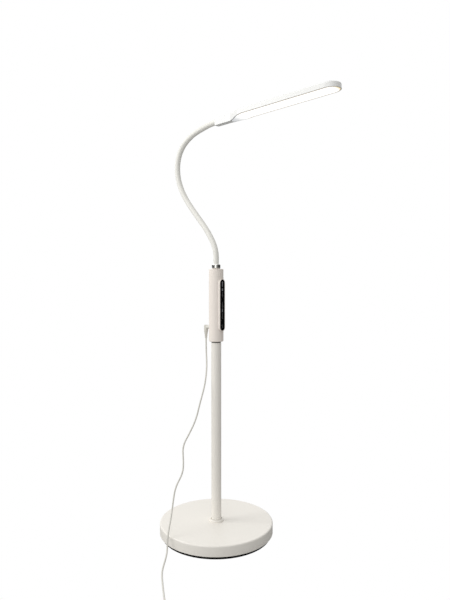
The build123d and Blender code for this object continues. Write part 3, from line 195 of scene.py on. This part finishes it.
# %% [markdown]
# The neck's sleeve is silicone rubber: matt, with a faint sheen at its edges.  The
# lead's jacket is soft PVC.  The foam pad and the dark plastics send little light
# back.

# %% Rubber, PVC, foam and dark plastics
# Silicone: soft and a little dusty to the eye, with a weak bloom at its edges.
silicone, tree, shader = start_material("silicone_sleeve", "#E2E1DB", 0.5, IOR=1.41, Sheen_Weight=0.08)
skin = grain(tree, shader, 0.6, 0.01)
mottle(tree, shader, skin, "#E3E2DC", "#E0DED7")

# Soft PVC: the lead's jacket and the plug moulded onto it, beige grey and half glossy.
pvc, tree, shader = start_material("soft_pvc", "#CBC9C1", 0.4, IOR=1.53)
skin = grain(tree, shader, 0.7, 0.01)
mottle(tree, shader, skin, "#CDCBC4", "#C6C3BA")

# Foam rubber: open cells swallow the light, so its edge is nearly black.
foam, tree, shader = start_material("foam_rubber", "#0C0B0B", 0.95, Specular_IOR_Level=0.1)
skin = grain(tree, shader, 0.6, 0.15, detail=4.0)
mottle(tree, shader, skin, "#100F0F", "#070707")

# Matt black plastic: inner parts and the dark shoulder under the housing.
dark_plastic, tree, shader = start_material("matt_black_plastic", "#17171A", 0.55)
skin = grain(tree, shader, 0.4, 0.01)
mottle(tree, shader, skin, "#1A1A1C", "#131315")

# Smoked acrylic: the touch panel is deep black with a thin, sharp reflection.
smoked_acrylic, tree, shader = start_material(
    "smoked_acrylic", "#030303", 0.12, IOR=1.49, Specular_IOR_Level=0.04)
skin = grain(tree, shader, 12.0, 0.004)
mottle(tree, shader, skin, "#040404", "#020202")

# Printed marks: dim grey ink on the panel's face, dull beside the acrylic.
grey_ink, tree, shader = start_material("grey_ink", "#7C7C80", 0.6)
skin = grain(tree, shader, 0.3, 0.004)
mottle(tree, shader, skin, "#808084", "#78787C")

print("soft finishes:", silicone.name, pvc.name, foam.name)
print("dark finishes:", dark_plastic.name, smoked_acrylic.name, grey_ink.name)

# %% [markdown]
# Metals: the pole's bolt and the plug it screws into, the screws, the washers and
# the sheet under the base are zinc plated and dull.  The neck's nipple and its nut
# are turned brass.  The plug's sleeve, the inlet's nut and the adapter's pins are
# nickel plated, and the touch springs are spring steel.  Each row gives the tone, the
# roughness, and the width and depth of the grain in millimetres.

# %% Metals
METALS = (
    ("zinc_plate", "#A9A9A4", 0.35, 0.6, 0.02),
    ("turned_brass", "#C9A961", 0.25, 0.3, 0.01),
    ("nickel_plate", "#BDBAB3", 0.22, 0.5, 0.004),
    ("spring_steel", "#A5A6A8", 0.3, 0.4, 0.006),
)
metals = {}
for name, tone, roughness, size_mm, depth_mm in METALS:
    metal, tree, shader = start_material(name, tone, roughness, Metallic=1.0)
    skin = grain(tree, shader, size_mm, depth_mm)
    vary_roughness(tree, shader, skin, roughness * 0.8, roughness * 1.25)
    metals[name] = metal
print("metals:", list(metals))

# %% [markdown]
# In a white studio a chrome ring would mirror only white.  In a real room it shows
# the room's dark and bright parts as upright stripes, so these reflections are
# painted into its tone: a ramp that runs round the ring, a radial gradient of the
# Object coordinates, which is 0 and 1 at the lamp's back and 0.5 at its front.  The
# painted stripes lie on the ring's upright middle; its rounded shoulders take a plain,
# bright painted reflection of the sky.

# %% Painted reflection stripes round the chrome ferrule
# Painted reflection: the room's dark and bright parts, as stops of a ramp round the ring.
PAINTED_REFLECTION_STRIPES = (
    (0.00, "#B4B3B0"), (0.10, "#BDBCB8"), (0.12, "#4A4947"), (0.30, "#5A5957"),
    (0.306, "#D9D8D4"), (0.335, "#D9D8D4"), (0.345, "#93928E"), (0.405, "#8B8A86"),
    (0.413, "#CFCECA"), (0.437, "#CFCECA"), (0.446, "#4F4E4B"), (0.60, "#454441"),
    (0.62, "#C4C3BF"), (0.74, "#CFCECA"), (0.76, "#5B5A57"), (0.88, "#666562"),
    (0.90, "#B4B3B0"))
STRIPE_BAND_Z, STRIPE_BAND_H = 0.5983, 0.0066      # middle and height of the striped part
# Painted reflection of the sky, on the ring's shoulders above and below the band.
PAINTED_SKY_REFLECTION = "#EDECE9"
chrome, tree, shader = start_material("chrome_plate", "#C9C8C6", 0.12, Metallic=1.0)
grain(tree, shader, 4.0, 0.002)
place = add_node(tree, "ShaderNodeTexCoord")
around = add_node(tree, "ShaderNodeTexGradient", {"gradient_type": "RADIAL"}, {"Vector": (place, "Object")})
reflection_stripes = add_node(tree, "ShaderNodeValToRGB", {}, {"Fac": (around, "Fac")})
ramp_stops = reflection_stripes.color_ramp.elements
for number, (place_round, tone) in enumerate(PAINTED_REFLECTION_STRIPES):
    stop = ramp_stops[number] if number < 2 else ramp_stops.new(place_round)
    stop.position = place_round
    stop.color = colour(tone)
# The painted stripes only on the upright band, the painted sky reflection elsewhere.
split = add_node(tree, "ShaderNodeSeparateXYZ", {}, {"Vector": (place, "Object")})
on_band = add_node(tree, "ShaderNodeMath", {"operation": "COMPARE"}, {
    0: (split, "Z"), 1: STRIPE_BAND_Z, 2: STRIPE_BAND_H / 2})
painted_reflection = blend_tones(tree, (on_band, "Value"), PAINTED_SKY_REFLECTION, reflection_stripes.outputs["Color"])
tree.links.new(painted_reflection, shader.inputs["Base Color"])
print("chrome:", len(ramp_stops), "stops round the ring")

# %% [markdown]
# The pieces inside are seldom seen, so each takes one tone, and its roughness
# wanders a little with its grain.  The circuit boards have a green solder mask and
# black moulded parts, the ballast is cast concrete, the wires have red insulation,
# and the light board is white with yellow phosphor on its LEDs and a matt tape
# behind it.

# %% Inner finishes
INNER = (
    ("solder_mask", "#1D5B33", 0.35, 3.0, 0.01),
    ("moulded_components", "#202021", 0.5, 0.6, 0.01),
    ("cast_concrete", "#8F8C86", 0.85, 1.5, 0.2),
    ("wire_insulation", "#B5261E", 0.4, 0.5, 0.005),
    ("white_board", "#EDEDEA", 0.4, 1.0, 0.005),
    ("led_phosphor", "#F0CC52", 0.5, 0.4, 0.01),
    ("adhesive_tape", "#DAD9D3", 0.7, 0.8, 0.02),
)
inner = {}
for name, tone, roughness, size_mm, depth_mm in INNER:
    finish, tree, shader = start_material(name, tone, roughness)
    skin = grain(tree, shader, size_mm, depth_mm)
    vary_roughness(tree, shader, skin, roughness * 0.85, min(1.0, roughness * 1.2))
    inner[name] = finish
print("inner finishes:", list(inner))

# %% [markdown]
# ## Places on the head
# Everything on the light head is told by its length from the tail's end.  The
# head's own direction comes from the frame: the last joint, the neck's last bend
# and the tail.

# %% The neck's joints and how it leans at each
LINK_LENGTH = 0.0378                # each link's arc between two joints
TOP_STUB = 0.022                    # from the last joint to the head's tail
TOP_STUB_TURN = radians(8.3)        # how far the neck turns on that stretch
STRAIGHT_TURN = 1e-9                # radians; an arc that turns less counts as straight


def follow_arc(place, lean, length, turn):
    """Next place and lean after an arc; lean is from upright towards +X."""
    chord = length if abs(turn) < STRAIGHT_TURN else 2 * length / turn * sin(turn / 2)
    way = lean + turn / 2
    return place + Vector((sin(way), 0, cos(way))) * chord, lean + turn


joint_places = [Vector(joint["pos_m"]) for joint in frame["joints"]]
leans = [0.0]
for before, after in zip(joint_places, joint_places[1:]):
    leans.append(2 * atan2(after.x - before.x, after.z - before.z) - leans[-1])
turns = [after - before for before, after in zip(leans, leans[1:])]
tail_place, tail_lean = follow_arc(joint_places[-1], leans[-1], TOP_STUB, TOP_STUB_TURN)
print("neck turns:", [round(degrees(turn), 1) for turn in turns], "head lean", round(degrees(tail_lean), 1))

# %% Where the head starts, and its own upward direction
NECK_AXIS_RISE = 0.0036             # neck's middle above the flat underside
head_up = Vector((-cos(tail_lean), 0, sin(tail_lean)))
head_origin = tail_place - head_up * NECK_AXIS_RISE
print("head starts at", [round(1000 * c, 1) for c in head_origin])

# %% [markdown]
# ## Light plate
# The milky acrylic plate glows over the light board.  Near the tail, where no light
# stands behind it, its colour is a painted bluish-grey shade and it takes a weaker,
# painted glow.  At its rim and at its tip the light grows warmer.  A Mapping node
# turns the pattern to lie along the head, with X along it and Y across; the distance
# from the plate's middle line, and past the tip's centre from that centre, tells how
# near the rim is.  Only faces that look down glow.

# %% Places of the glow
LIGHT_START, LIGHT_FULL = 0.050, 0.080      # length from the tail where the glow begins and is full
# Painted glow at the tail, where no light board stands behind the plate; the lamp's full glow over the light
# board.
PAINTED_TAIL_GLOW, LIGHT_STRENGTH = 0.38, 1.0    # glow at the tail end and over the light board
PLATE_HALF_W = 0.0193
TIP_CENTRE = 0.277                          # length of the middle of the tip's round end
RIM_GLOW_W, TIP_GLOW_W = 0.0026, 0.009      # how far the warm light reaches in
# Painted shade: the plate's colour turns bluish grey near the tail, where no light stands behind it.
PAINTED_SHADE_TONE, BODY_TONE = "#D3D8E2", "#F4F4F1"
GLOW_TONE, RIM_TONE, TIP_TONE = "#FFFFFC", "#A8865A", "#C0A765"
FACES_DOWN = 0.5                            # a face glows within 60 degrees of straight down
print("glow starts", LIGHT_START, "m from the tail and is full at", LIGHT_FULL, "m")

# %% Glowing acrylic
light_plate, tree, shader = start_material("milky_acrylic", BODY_TONE, 0.35, IOR=1.49)
place = add_node(tree, "ShaderNodeTexCoord")
turned = add_node(tree, "ShaderNodeMapping", {"vector_type": "TEXTURE"}, {
    "Vector": (place, "Object"), "Location": head_origin, "Rotation": (0.0, tail_lean - pi / 2, 0.0)})
split = add_node(tree, "ShaderNodeSeparateXYZ", {}, {"Vector": (turned, "Vector")})
lit = add_node(tree, "ShaderNodeMapRange", {"interpolation_type": "SMOOTHSTEP"}, {
    "Value": (split, "X"), "From Min": LIGHT_START, "From Max": LIGHT_FULL})
# How far past the tip's centre, and 0 before it: a metre more gives 1 more.
past_centre = add_node(tree, "ShaderNodeMapRange", {}, {
    "Value": (split, "X"), "From Min": TIP_CENTRE, "From Max": TIP_CENTRE + 1.0})
from_centre = add_node(tree, "ShaderNodeCombineXYZ", {}, {"X": (past_centre, "Result"), "Y": (split, "Y")})
spread = add_node(tree, "ShaderNodeVectorMath", {"operation": "LENGTH"}, {"Vector": (from_centre, "Vector")})
near_rim = add_node(tree, "ShaderNodeMapRange", {"interpolation_type": "SMOOTHSTEP"}, {
    "Value": (spread, "Value"), "From Min": PLATE_HALF_W - RIM_GLOW_W, "From Max": PLATE_HALF_W})
at_tip = add_node(tree, "ShaderNodeMapRange", {"interpolation_type": "SMOOTHSTEP"}, {
    "Value": (past_centre, "Result"), "From Min": PLATE_HALF_W - TIP_GLOW_W, "From Max": PLATE_HALF_W})
print("glow pattern:", len(tree.nodes), "nodes")

# %% Tones of the glow
facing = add_node(tree, "ShaderNodeVectorMath", {"operation": "DOT_PRODUCT"}, {
    0: (place, "Normal"), 1: -head_up})
downwards = add_node(tree, "ShaderNodeMath", {"operation": "GREATER_THAN"}, {
    0: (facing, "Value"), 1: FACES_DOWN})
# Emission strength: painted glow at the tail, rising to the lamp's full glow over the light board.
strength = add_node(tree, "ShaderNodeMapRange", {}, {
    "Value": (lit, "Result"), "To Min": PAINTED_TAIL_GLOW, "To Max": LIGHT_STRENGTH})
emission = add_node(tree, "ShaderNodeMath", {"operation": "MULTIPLY"}, {
    0: (strength, "Result"), 1: (downwards, "Value")})
# Painted shade: bluish grey towards the tail, the plate's own white over the light board.
body = blend_tones(tree, (lit, "Result"), PAINTED_SHADE_TONE, BODY_TONE)
rim_light = blend_tones(tree, (near_rim, "Result"), GLOW_TONE, RIM_TONE)
tip_light = blend_tones(tree, (at_tip, "Result"), rim_light, TIP_TONE)
tree.links.new(body, shader.inputs["Base Color"])
tree.links.new(tip_light, shader.inputs["Emission Color"])
tree.links.new(emission.outputs["Value"], shader.inputs["Emission Strength"])
print("light plate:", len(tree.nodes), "nodes")

# %% [markdown]
# ## Finishes on the frame's pieces
# The frame's pieces already have their shape, so each just takes a material.

# %% Give the frame's pieces their finishes


def paint(names, material):
    """Give frame pieces a material."""
    for name in names.split():
        slots = nodes[name].data.materials
        slots.clear()
        slots.append(material)


paint("base_cover pole_collar pole_tube", powder_coat)
paint("housing_body housing_cap panel_frame", satin_abs)
paint("head_shell light_mixer adapter_case adapter_lid", head_abs)
paint("head_diffuser", light_plate)
paint("base_pad", foam)
paint("touch_panel", smoked_acrylic)
paint("housing_socket dc_jack coil_tie end_bush pole_head_plug", dark_plastic)
paint("neck_ferrule", chrome)
paint("base_plate pole_bolt bolt_washer pole_foot_plug board_screws lock_washer", metals["zinc_plate"])
paint("neck_nipple lock_nut", metals["turned_brass"])
paint("jack_nut plug_barrel adapter_pins", metals["nickel_plate"])
paint("touch_springs", metals["spring_steel"])
paint("base_weight", inner["cast_concrete"])
paint("control_board adapter_board", inner["solder_mask"])
paint("board_parts", inner["moulded_components"])
paint("jack_wires neck_lead head_lead", inner["wire_insulation"])
paint("led_board", inner["white_board"])
paint("led_chips", inner["led_phosphor"])
paint("board_tape", inner["adhesive_tape"])
paint("neck_foot neck_top " + " ".join(f"neck_link_{number:02d}" for number in range(1, 11)), silicone)
paint("dc_plug cord cord_coil cord_end", pvc)
print("painted", len(nodes), "pieces of the frame")

# %% [markdown]
# ## The lead
# A thin PVC lead hangs from the plug, touches down beside the base and runs over
# the floor out of the picture.  A NURBS curve through chosen corner points gives
# the soft, slightly wavy line of a lead that was once wound up.  The spare length
# lies in a coil outside the picture; its turns come from a loop.

# %% Sizes of the lead and its coil
LEAD_D = 0.0034
COIL_INNER_R = 0.0162
COIL_PITCH = 0.0047                 # from turn to turn in a layer
COIL_LAYER = 0.00395                # from layer to layer
COIL_REST = 0.0009                  # the tie's band lies under the coil
COIL_LAYERS = ((-1, 3), (1, 3), (-1, 3), (1, 2))    # way of each layer's spiral, half turns
COIL_START = Vector((0.1452, -0.3103, COIL_REST + LEAD_D / 2))
COIL_HEADING = radians(-51.0)
POINTS_PER_HALF_TURN = 8
ADAPTER_MIDDLE = 0.017              # height of the adapter's cable entry

# %% Corner points of the free stretch
FLOOR_LINE = LEAD_D / 2
lead_route = [
    (-0.0295, 0.0, 0.4392),
    (-0.0295, 0.0, 0.412),
    (-0.0203, -0.0076, 0.376),
    (-0.0155, -0.020, 0.338),
    (-0.0195, -0.032, 0.300),
    (-0.0225, -0.042, 0.264),
    (-0.0325, -0.052, 0.234),
    (-0.046, -0.061, 0.204),
    (-0.0352, -0.0693, 0.176),
    (-0.0293, -0.0776, 0.152),
    (-0.0413, -0.0886, 0.122),
    (-0.0401, -0.0972, 0.094),
    (-0.0331, -0.1102, 0.066),
    (-0.0253, -0.1266, 0.044),
    (-0.0215, -0.1345, 0.024),
    (-0.017, -0.1395, 0.008),
    (-0.0055, -0.155, FLOOR_LINE),
    (0.014, -0.182, FLOOR_LINE),
    (0.0305, -0.203, FLOOR_LINE),
    (0.052, -0.2235, FLOOR_LINE),
    (0.077, -0.246, FLOOR_LINE),
    (0.1025, -0.2685, FLOOR_LINE),
    (0.1301, -0.2916, COIL_START.z),
]
print("free stretch:", len(lead_route), "points")

# %% Points of the coil
coil_ahead = Vector((cos(COIL_HEADING), sin(COIL_HEADING), 0))
coil_inward = Vector((-sin(COIL_HEADING), cos(COIL_HEADING), 0))
coil_outer_r = COIL_INNER_R + COIL_LAYERS[0][1] * COIL_PITCH / 2
coil_middle = COIL_START + coil_inward * coil_outer_r


def coil_point(x, y, z):
    """Point of the coil: x against the way inward, y ahead, z up."""
    return coil_middle - coil_inward * x + coil_ahead * y + Vector((0, 0, z))


def half_turn(side, radius, end_radius, z, rise):
    """Control points of half a turn; pulled outwards, as the curve cuts inside them."""
    outwards = 1 / cos(pi / (2 * POINTS_PER_HALF_TURN))
    middle_r = (radius + end_radius) / 2
    points = []
    for number in range(POINTS_PER_HALF_TURN):
        angle = pi * number / POINTS_PER_HALF_TURN
        x = (radius - end_radius) / 2 + middle_r * outwards * cos(angle)
        y = sqrt(middle_r ** 2 + rise ** 2 / 4) * outwards * sin(angle)
        points.append(coil_point(side * x, side * y, z + rise / 2 * (1 - cos(angle))))
    return points


coil_points = [coil_point(coil_outer_r, -LEAD_D, 0)]
radius, side = coil_outer_r, 1
for layer, (way, half_turns) in enumerate(COIL_LAYERS):
    height = layer * COIL_LAYER
    for _ in range(half_turns):
        end_radius = radius + way * COIL_PITCH / 2
        coil_points += half_turn(side, radius, end_radius, height, 0.0)
        side, radius = -side, end_radius
    if layer < len(COIL_LAYERS) - 1:
        coil_points += half_turn(side, radius, radius, height, COIL_LAYER)
        side = -side
exit_shift = COIL_PITCH / 4         # the last quarter turn moves outwards by this
exit_radius = radius + exit_shift
quarter = half_turn(side, radius, radius + 2 * exit_shift, height, 0.0)
coil_points += quarter[:POINTS_PER_HALF_TURN // 2]
coil_middle_mm = 1000 * (COIL_INNER_R + coil_outer_r) / 2
print("coil:", len(coil_points), "points, middle radius", round(coil_middle_mm, 1), "mm")

# %% Lay the lead as one smooth curve
TAIL_RUNS = (0.0106, 0.014, 0.0106)        # level, rising and level again, to the adapter
tail_x = -exit_shift - LEAD_D
adapter_rise = ADAPTER_MIDDLE - coil_middle.z
tail_points = [
    coil_point(-exit_shift, exit_radius, height),
    coil_point(tail_x, exit_radius, height),
    coil_point(tail_x - TAIL_RUNS[0], exit_radius, height),
    coil_point(tail_x - TAIL_RUNS[0] - TAIL_RUNS[1], exit_radius, adapter_rise),
    coil_point(tail_x - sum(TAIL_RUNS), exit_radius, adapter_rise),
]
lead_points = [Vector(point) for point in lead_route] + coil_points + tail_points

lead_curve = bpy.data.curves.new("lead", "CURVE")
lead_curve.dimensions = "3D"
lead_curve.bevel_depth = LEAD_D / 2
lead_curve.bevel_resolution = 5
lead_curve.resolution_u = 6
lead_curve.use_fill_caps = True
spline = lead_curve.splines.new("NURBS")
spline.points.add(len(lead_points) - 1)
for point, corner in zip(spline.points, lead_points):
    point.co = (*corner, 1.0)
spline.order_u = 3
spline.use_endpoint_u = True
lead_curve.materials.append(pvc)
lead = bpy.data.objects.new("lead", lead_curve)
bpy.context.scene.collection.objects.link(lead)
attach(lead, "root")
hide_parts("cord", "cord_coil", "cord_end")
print("lead:", len(lead_points), "points")

# %% [markdown]
# ## The neck's sleeve
# The gooseneck is a wound steel spiral under a smooth silicone sleeve.  The frame
# has it as ten stiff links between a foot and a top, with eleven joints in all.  The
# sleeve is made as eleven short tubes, one across each joint, from the middle of one
# link to the middle of the next, each curved along the neck's bend at that joint.
# The first tube starts in the ferrule, and the last ends at the head's tail.  A tube
# is spun: a ring of points turned round the bend's centre.

# %% Build the sleeve
SLEEVE_D = 0.012
SLEEVE_SIDES = 40
STEPS_PER_ARC = 10
SLEEVE_FOOT_Z = 0.5990              # hidden in the ferrule
MERGE_GAP = 1e-6                    # points nearer than this become one
SHARP_CORNER = radians(35)          # an edge that bends more stays sharp
half_link = LINK_LENGTH / 2


def finish_piece(name, mesh, material, body=None):
    """Make an object of a bmesh: normals outwards, smooth sides, sharp corners."""
    bmesh.ops.recalc_face_normals(mesh, faces=mesh.faces)
    data = bpy.data.meshes.new(name)
    for face in mesh.faces:
        face.smooth = True
    for edge in mesh.edges:
        if len(edge.link_faces) == 2 and edge.calc_face_angle(0.0) > SHARP_CORNER:
            edge.smooth = False
    mesh.to_mesh(data)
    mesh.free()
    data.materials.append(material)
    piece = bpy.data.objects.new(name, data)
    bpy.context.scene.collection.objects.link(piece)
    if body:
        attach(piece, body)
    return piece


def start_ring(mesh, place, lean):
    """Capped ring square to the neck at a place, in a mesh that is still empty."""
    turn = Matrix.Translation(place) @ Matrix.Rotation(lean, 4, "Y")
    bmesh.ops.create_circle(mesh, cap_ends=True, segments=SLEEVE_SIDES, radius=SLEEVE_D / 2, matrix=turn)
    return list(mesh.verts) + list(mesh.edges) + list(mesh.faces)


def spin_arc(mesh, geometry, place, lean, length, turn):
    """Carry a ring along an arc; returns the new ring, its place and lean."""
    radius = length / turn
    centre = place + Vector((cos(lean), 0, -sin(lean))) * radius
    made = bmesh.ops.spin(
        mesh, geom=geometry, cent=centre, axis=(0, 1, 0), angle=turn, steps=STEPS_PER_ARC, use_merge=False)
    return made["geom_last"], *follow_arc(place, lean, length, turn)


def push_straight(mesh, geometry, move):
    """Carry a ring straight on."""
    made = bmesh.ops.extrude_face_region(mesh, geom=geometry)
    moved = [item for item in made["geom"] if isinstance(item, bmesh.types.BMVert)]
    bmesh.ops.translate(mesh, verts=moved, vec=move)
    return made["geom"]


for number, joint_place in enumerate(joint_places):
    sleeve = bmesh.new()
    if number == 0:
        place, lean = Vector((0, 0, SLEEVE_FOOT_Z)), 0.0
        ring = push_straight(sleeve, start_ring(sleeve, place, lean), joint_place - place)
        place = joint_place.copy()
    else:
        turn = turns[number - 1] / 2
        place, lean = follow_arc(joint_places[number - 1], leans[number - 1], half_link, turn)
        ring = start_ring(sleeve, place, lean)
        ring, place, lean = spin_arc(sleeve, ring, place, lean, half_link, turn)
    if number < len(turns):
        spin_arc(sleeve, ring, place, lean, half_link, turns[number] / 2)
    else:
        spin_arc(sleeve, ring, place, lean, TOP_STUB, TOP_STUB_TURN)
    bmesh.ops.remove_doubles(sleeve, verts=sleeve.verts, dist=MERGE_GAP)
    piece = finish_piece(f"neck_sleeve_{number + 1:02d}", sleeve, silicone)
    way = Vector((sin(leans[number]), 0, cos(leans[number])))
    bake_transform(piece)
    replaced = ["neck_foot"] if number == 0 else [f"neck_link_{number:02d}"]
    if number == len(turns):
        replaced.append("neck_top")
    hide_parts(*replaced)
print("sleeve: eleven tubes of", round(1000 * SLEEVE_D, 1), "mm")

# %% [markdown]
# ## Marks on the touch panel
# Dim grey marks are printed on the black panel: bars and lines where a finger
# slides, rings and dots where it taps.  Each is a very thin piece of ink on the
# panel's face, so that it stays sharp at any distance: a bar is a cube pressed
# flat, a ring is a circle with its middle taken out by an inset.

# %% Sizes of the marks
PANEL_FACE_X = 0.0178
INK_T = 0.00006                     # drawn a little thicker than real ink, to keep clear of the panel
BARS = (
    # middle height, length, width
    (0.5597, 0.0110, 0.0022),
    (0.5477, 0.0055, 0.0034),
    (0.5370, 0.0108, 0.0007),
    (0.5138, 0.0140, 0.0007),
    (0.5025, 0.0068, 0.0024),
    (0.4906, 0.0130, 0.0007),
)
RINGS = (
    # middle height, outer radius, width of the line
    (0.5262, 0.0038, 0.0008),
    (0.4787, 0.0038, 0.0008),
)
DOTS = (
    # middle height, place across, radius
    (0.4706, -0.0016, 0.0006),
    (0.4706, 0.0016, 0.0006),
    (0.4662, 0.0, 0.0009),
)
RING_SIDES, DOT_SIDES = 48, 24      # corners of each drawn circle
print("marks:", len(BARS), "bars,", len(RINGS), "rings,", len(DOTS), "dots")

# %% Print the marks
ink = bmesh.new()
upright = Matrix.Rotation(radians(90), 4, "Y")
for height, length, width in BARS:
    spot = Matrix.Translation((PANEL_FACE_X, 0, height)) @ Matrix.Diagonal((2 * INK_T, width, length, 1))
    bmesh.ops.create_cube(ink, size=1.0, matrix=spot)
for height, outer, line in RINGS:
    spot = Matrix.Translation((PANEL_FACE_X + INK_T, 0, height)) @ upright
    made = bmesh.ops.create_circle(ink, cap_ends=True, segments=RING_SIDES, radius=outer, matrix=spot)
    disc = made["verts"][0].link_faces[0]
    bmesh.ops.inset_region(ink, faces=[disc], thickness=line)
    bmesh.ops.delete(ink, geom=[disc], context="FACES_ONLY")
for height, across, radius in DOTS:
    spot = Matrix.Translation((PANEL_FACE_X + INK_T, across, height)) @ upright
    bmesh.ops.create_circle(ink, cap_ends=True, segments=DOT_SIDES, radius=radius, matrix=spot)
marks = finish_piece("panel_marks", ink, grey_ink, body="root")
print("panel marks:", len(marks.data.polygons), "faces")

# %% [markdown]
# ## Floor and light
# In the photograph the surroundings are pure white, without a shadow or a horizon,
# as if cut out.  So whatever the camera sees directly of floor and sky is white: a
# Light Path node tells those rays from the ones that light the lamp.  For the
# latter the floor is pale grey card, and the sky is bright at the left, a little
# dimmer overhead and darker at the right, which turns the round pieces grey on that
# side.  A large soft lamp stands at the left and a weak one near the camera.

# %% Floor
FLOOR_R = 6.0
FLOOR_SIDES = 96
floor_finish, tree, shader = start_material("pale_card", "#A3A3A2", 0.9, Specular_IOR_Level=0.0)
ray = add_node(tree, "ShaderNodeLightPath")
white = add_node(tree, "ShaderNodeEmission", {}, {"Color": colour("#FFFFFF"), "Strength": 1.0})
seen = add_node(tree, "ShaderNodeMixShader", {}, {
    0: (ray, "Is Camera Ray"), 1: (shader, "BSDF"), 2: (white, "Emission")})
tree.links.new(seen.outputs[0], tree.nodes["Material Output"].inputs["Surface"])
floor_mesh = bmesh.new()
bmesh.ops.create_circle(floor_mesh, cap_ends=True, segments=FLOOR_SIDES, radius=FLOOR_R)
floor = finish_piece("floor", floor_mesh, floor_finish)
print("floor radius", FLOOR_R, "m")

# %% Sky
SKY_BRIGHT, SKY_DARK_SIDE, SKY_OVERHEAD = 1.1, 0.25, -0.2     # the last is added overhead
DARK_TURN = radians(20.0)           # from +X round towards +Y: at the picture's right
DARK_WAY = (cos(DARK_TURN), sin(DARK_TURN), 0.0)
DARK_STARTS, DARK_FULL = 0.3, 0.95  # cosines of the angle from that way
OVERHEAD_STARTS = 0.4               # sine of the height above the horizon
world = bpy.data.worlds.new("studio")
world.use_nodes = True
sky = world.node_tree
way = add_node(sky, "ShaderNodeTexCoord")
rightness = add_node(sky, "ShaderNodeVectorMath", {"operation": "DOT_PRODUCT"}, {
    0: (way, "Generated"), 1: DARK_WAY})
side = add_node(sky, "ShaderNodeMapRange", {"interpolation_type": "SMOOTHSTEP"}, {
    "Value": (rightness, "Value"), "From Min": DARK_STARTS, "From Max": DARK_FULL,
    "To Min": SKY_BRIGHT, "To Max": SKY_DARK_SIDE})
height = add_node(sky, "ShaderNodeSeparateXYZ", {}, {"Vector": (way, "Generated")})
overhead = add_node(sky, "ShaderNodeMapRange", {"interpolation_type": "SMOOTHSTEP"}, {
    "Value": (height, "Z"), "From Min": OVERHEAD_STARTS, "From Max": 1.0,
    "To Min": 0.0, "To Max": SKY_OVERHEAD})
light = add_node(sky, "ShaderNodeMath", {"operation": "ADD"}, {0: (side, "Result"), 1: (overhead, "Result")})
ray = add_node(sky, "ShaderNodeLightPath")
shown = add_node(sky, "ShaderNodeMix", {}, {0: (ray, "Is Camera Ray"), 2: (light, "Value"), 3: 1.0})
background = sky.nodes["Background"]
background.inputs["Color"].default_value = colour("#FFFFFF")
sky.links.new(shown.outputs[0], background.inputs["Strength"])
bpy.context.scene.world = world
bpy.context.scene.view_settings.view_transform = "Standard"
print("sky from", SKY_BRIGHT, "to", SKY_DARK_SIDE, "and", SKY_OVERHEAD, "added overhead")

# %% Soft lamps
LAMP_MIDDLE = Vector((0, 0, 0.5))


def soft_light(name, place, size, power):
    """Square area light that faces the lamp's middle."""
    data = bpy.data.lights.new(name, "AREA")
    data.size = size
    data.energy = power
    light = bpy.data.objects.new(name, data)
    light.location = place
    light.rotation_euler = (LAMP_MIDDLE - Vector(place)).to_track_quat("-Z", "Y").to_euler()
    bpy.context.scene.collection.objects.link(light)
    return light


key = soft_light("key_left", (-1.65, -1.62, 1.9), size=1.4, power=26.0)
fill = soft_light("fill_front", (1.0, -1.5, 0.9), size=1.0, power=5.0)
print("lamps:", key.data.energy, "W at the left,", fill.data.energy, "W in front")
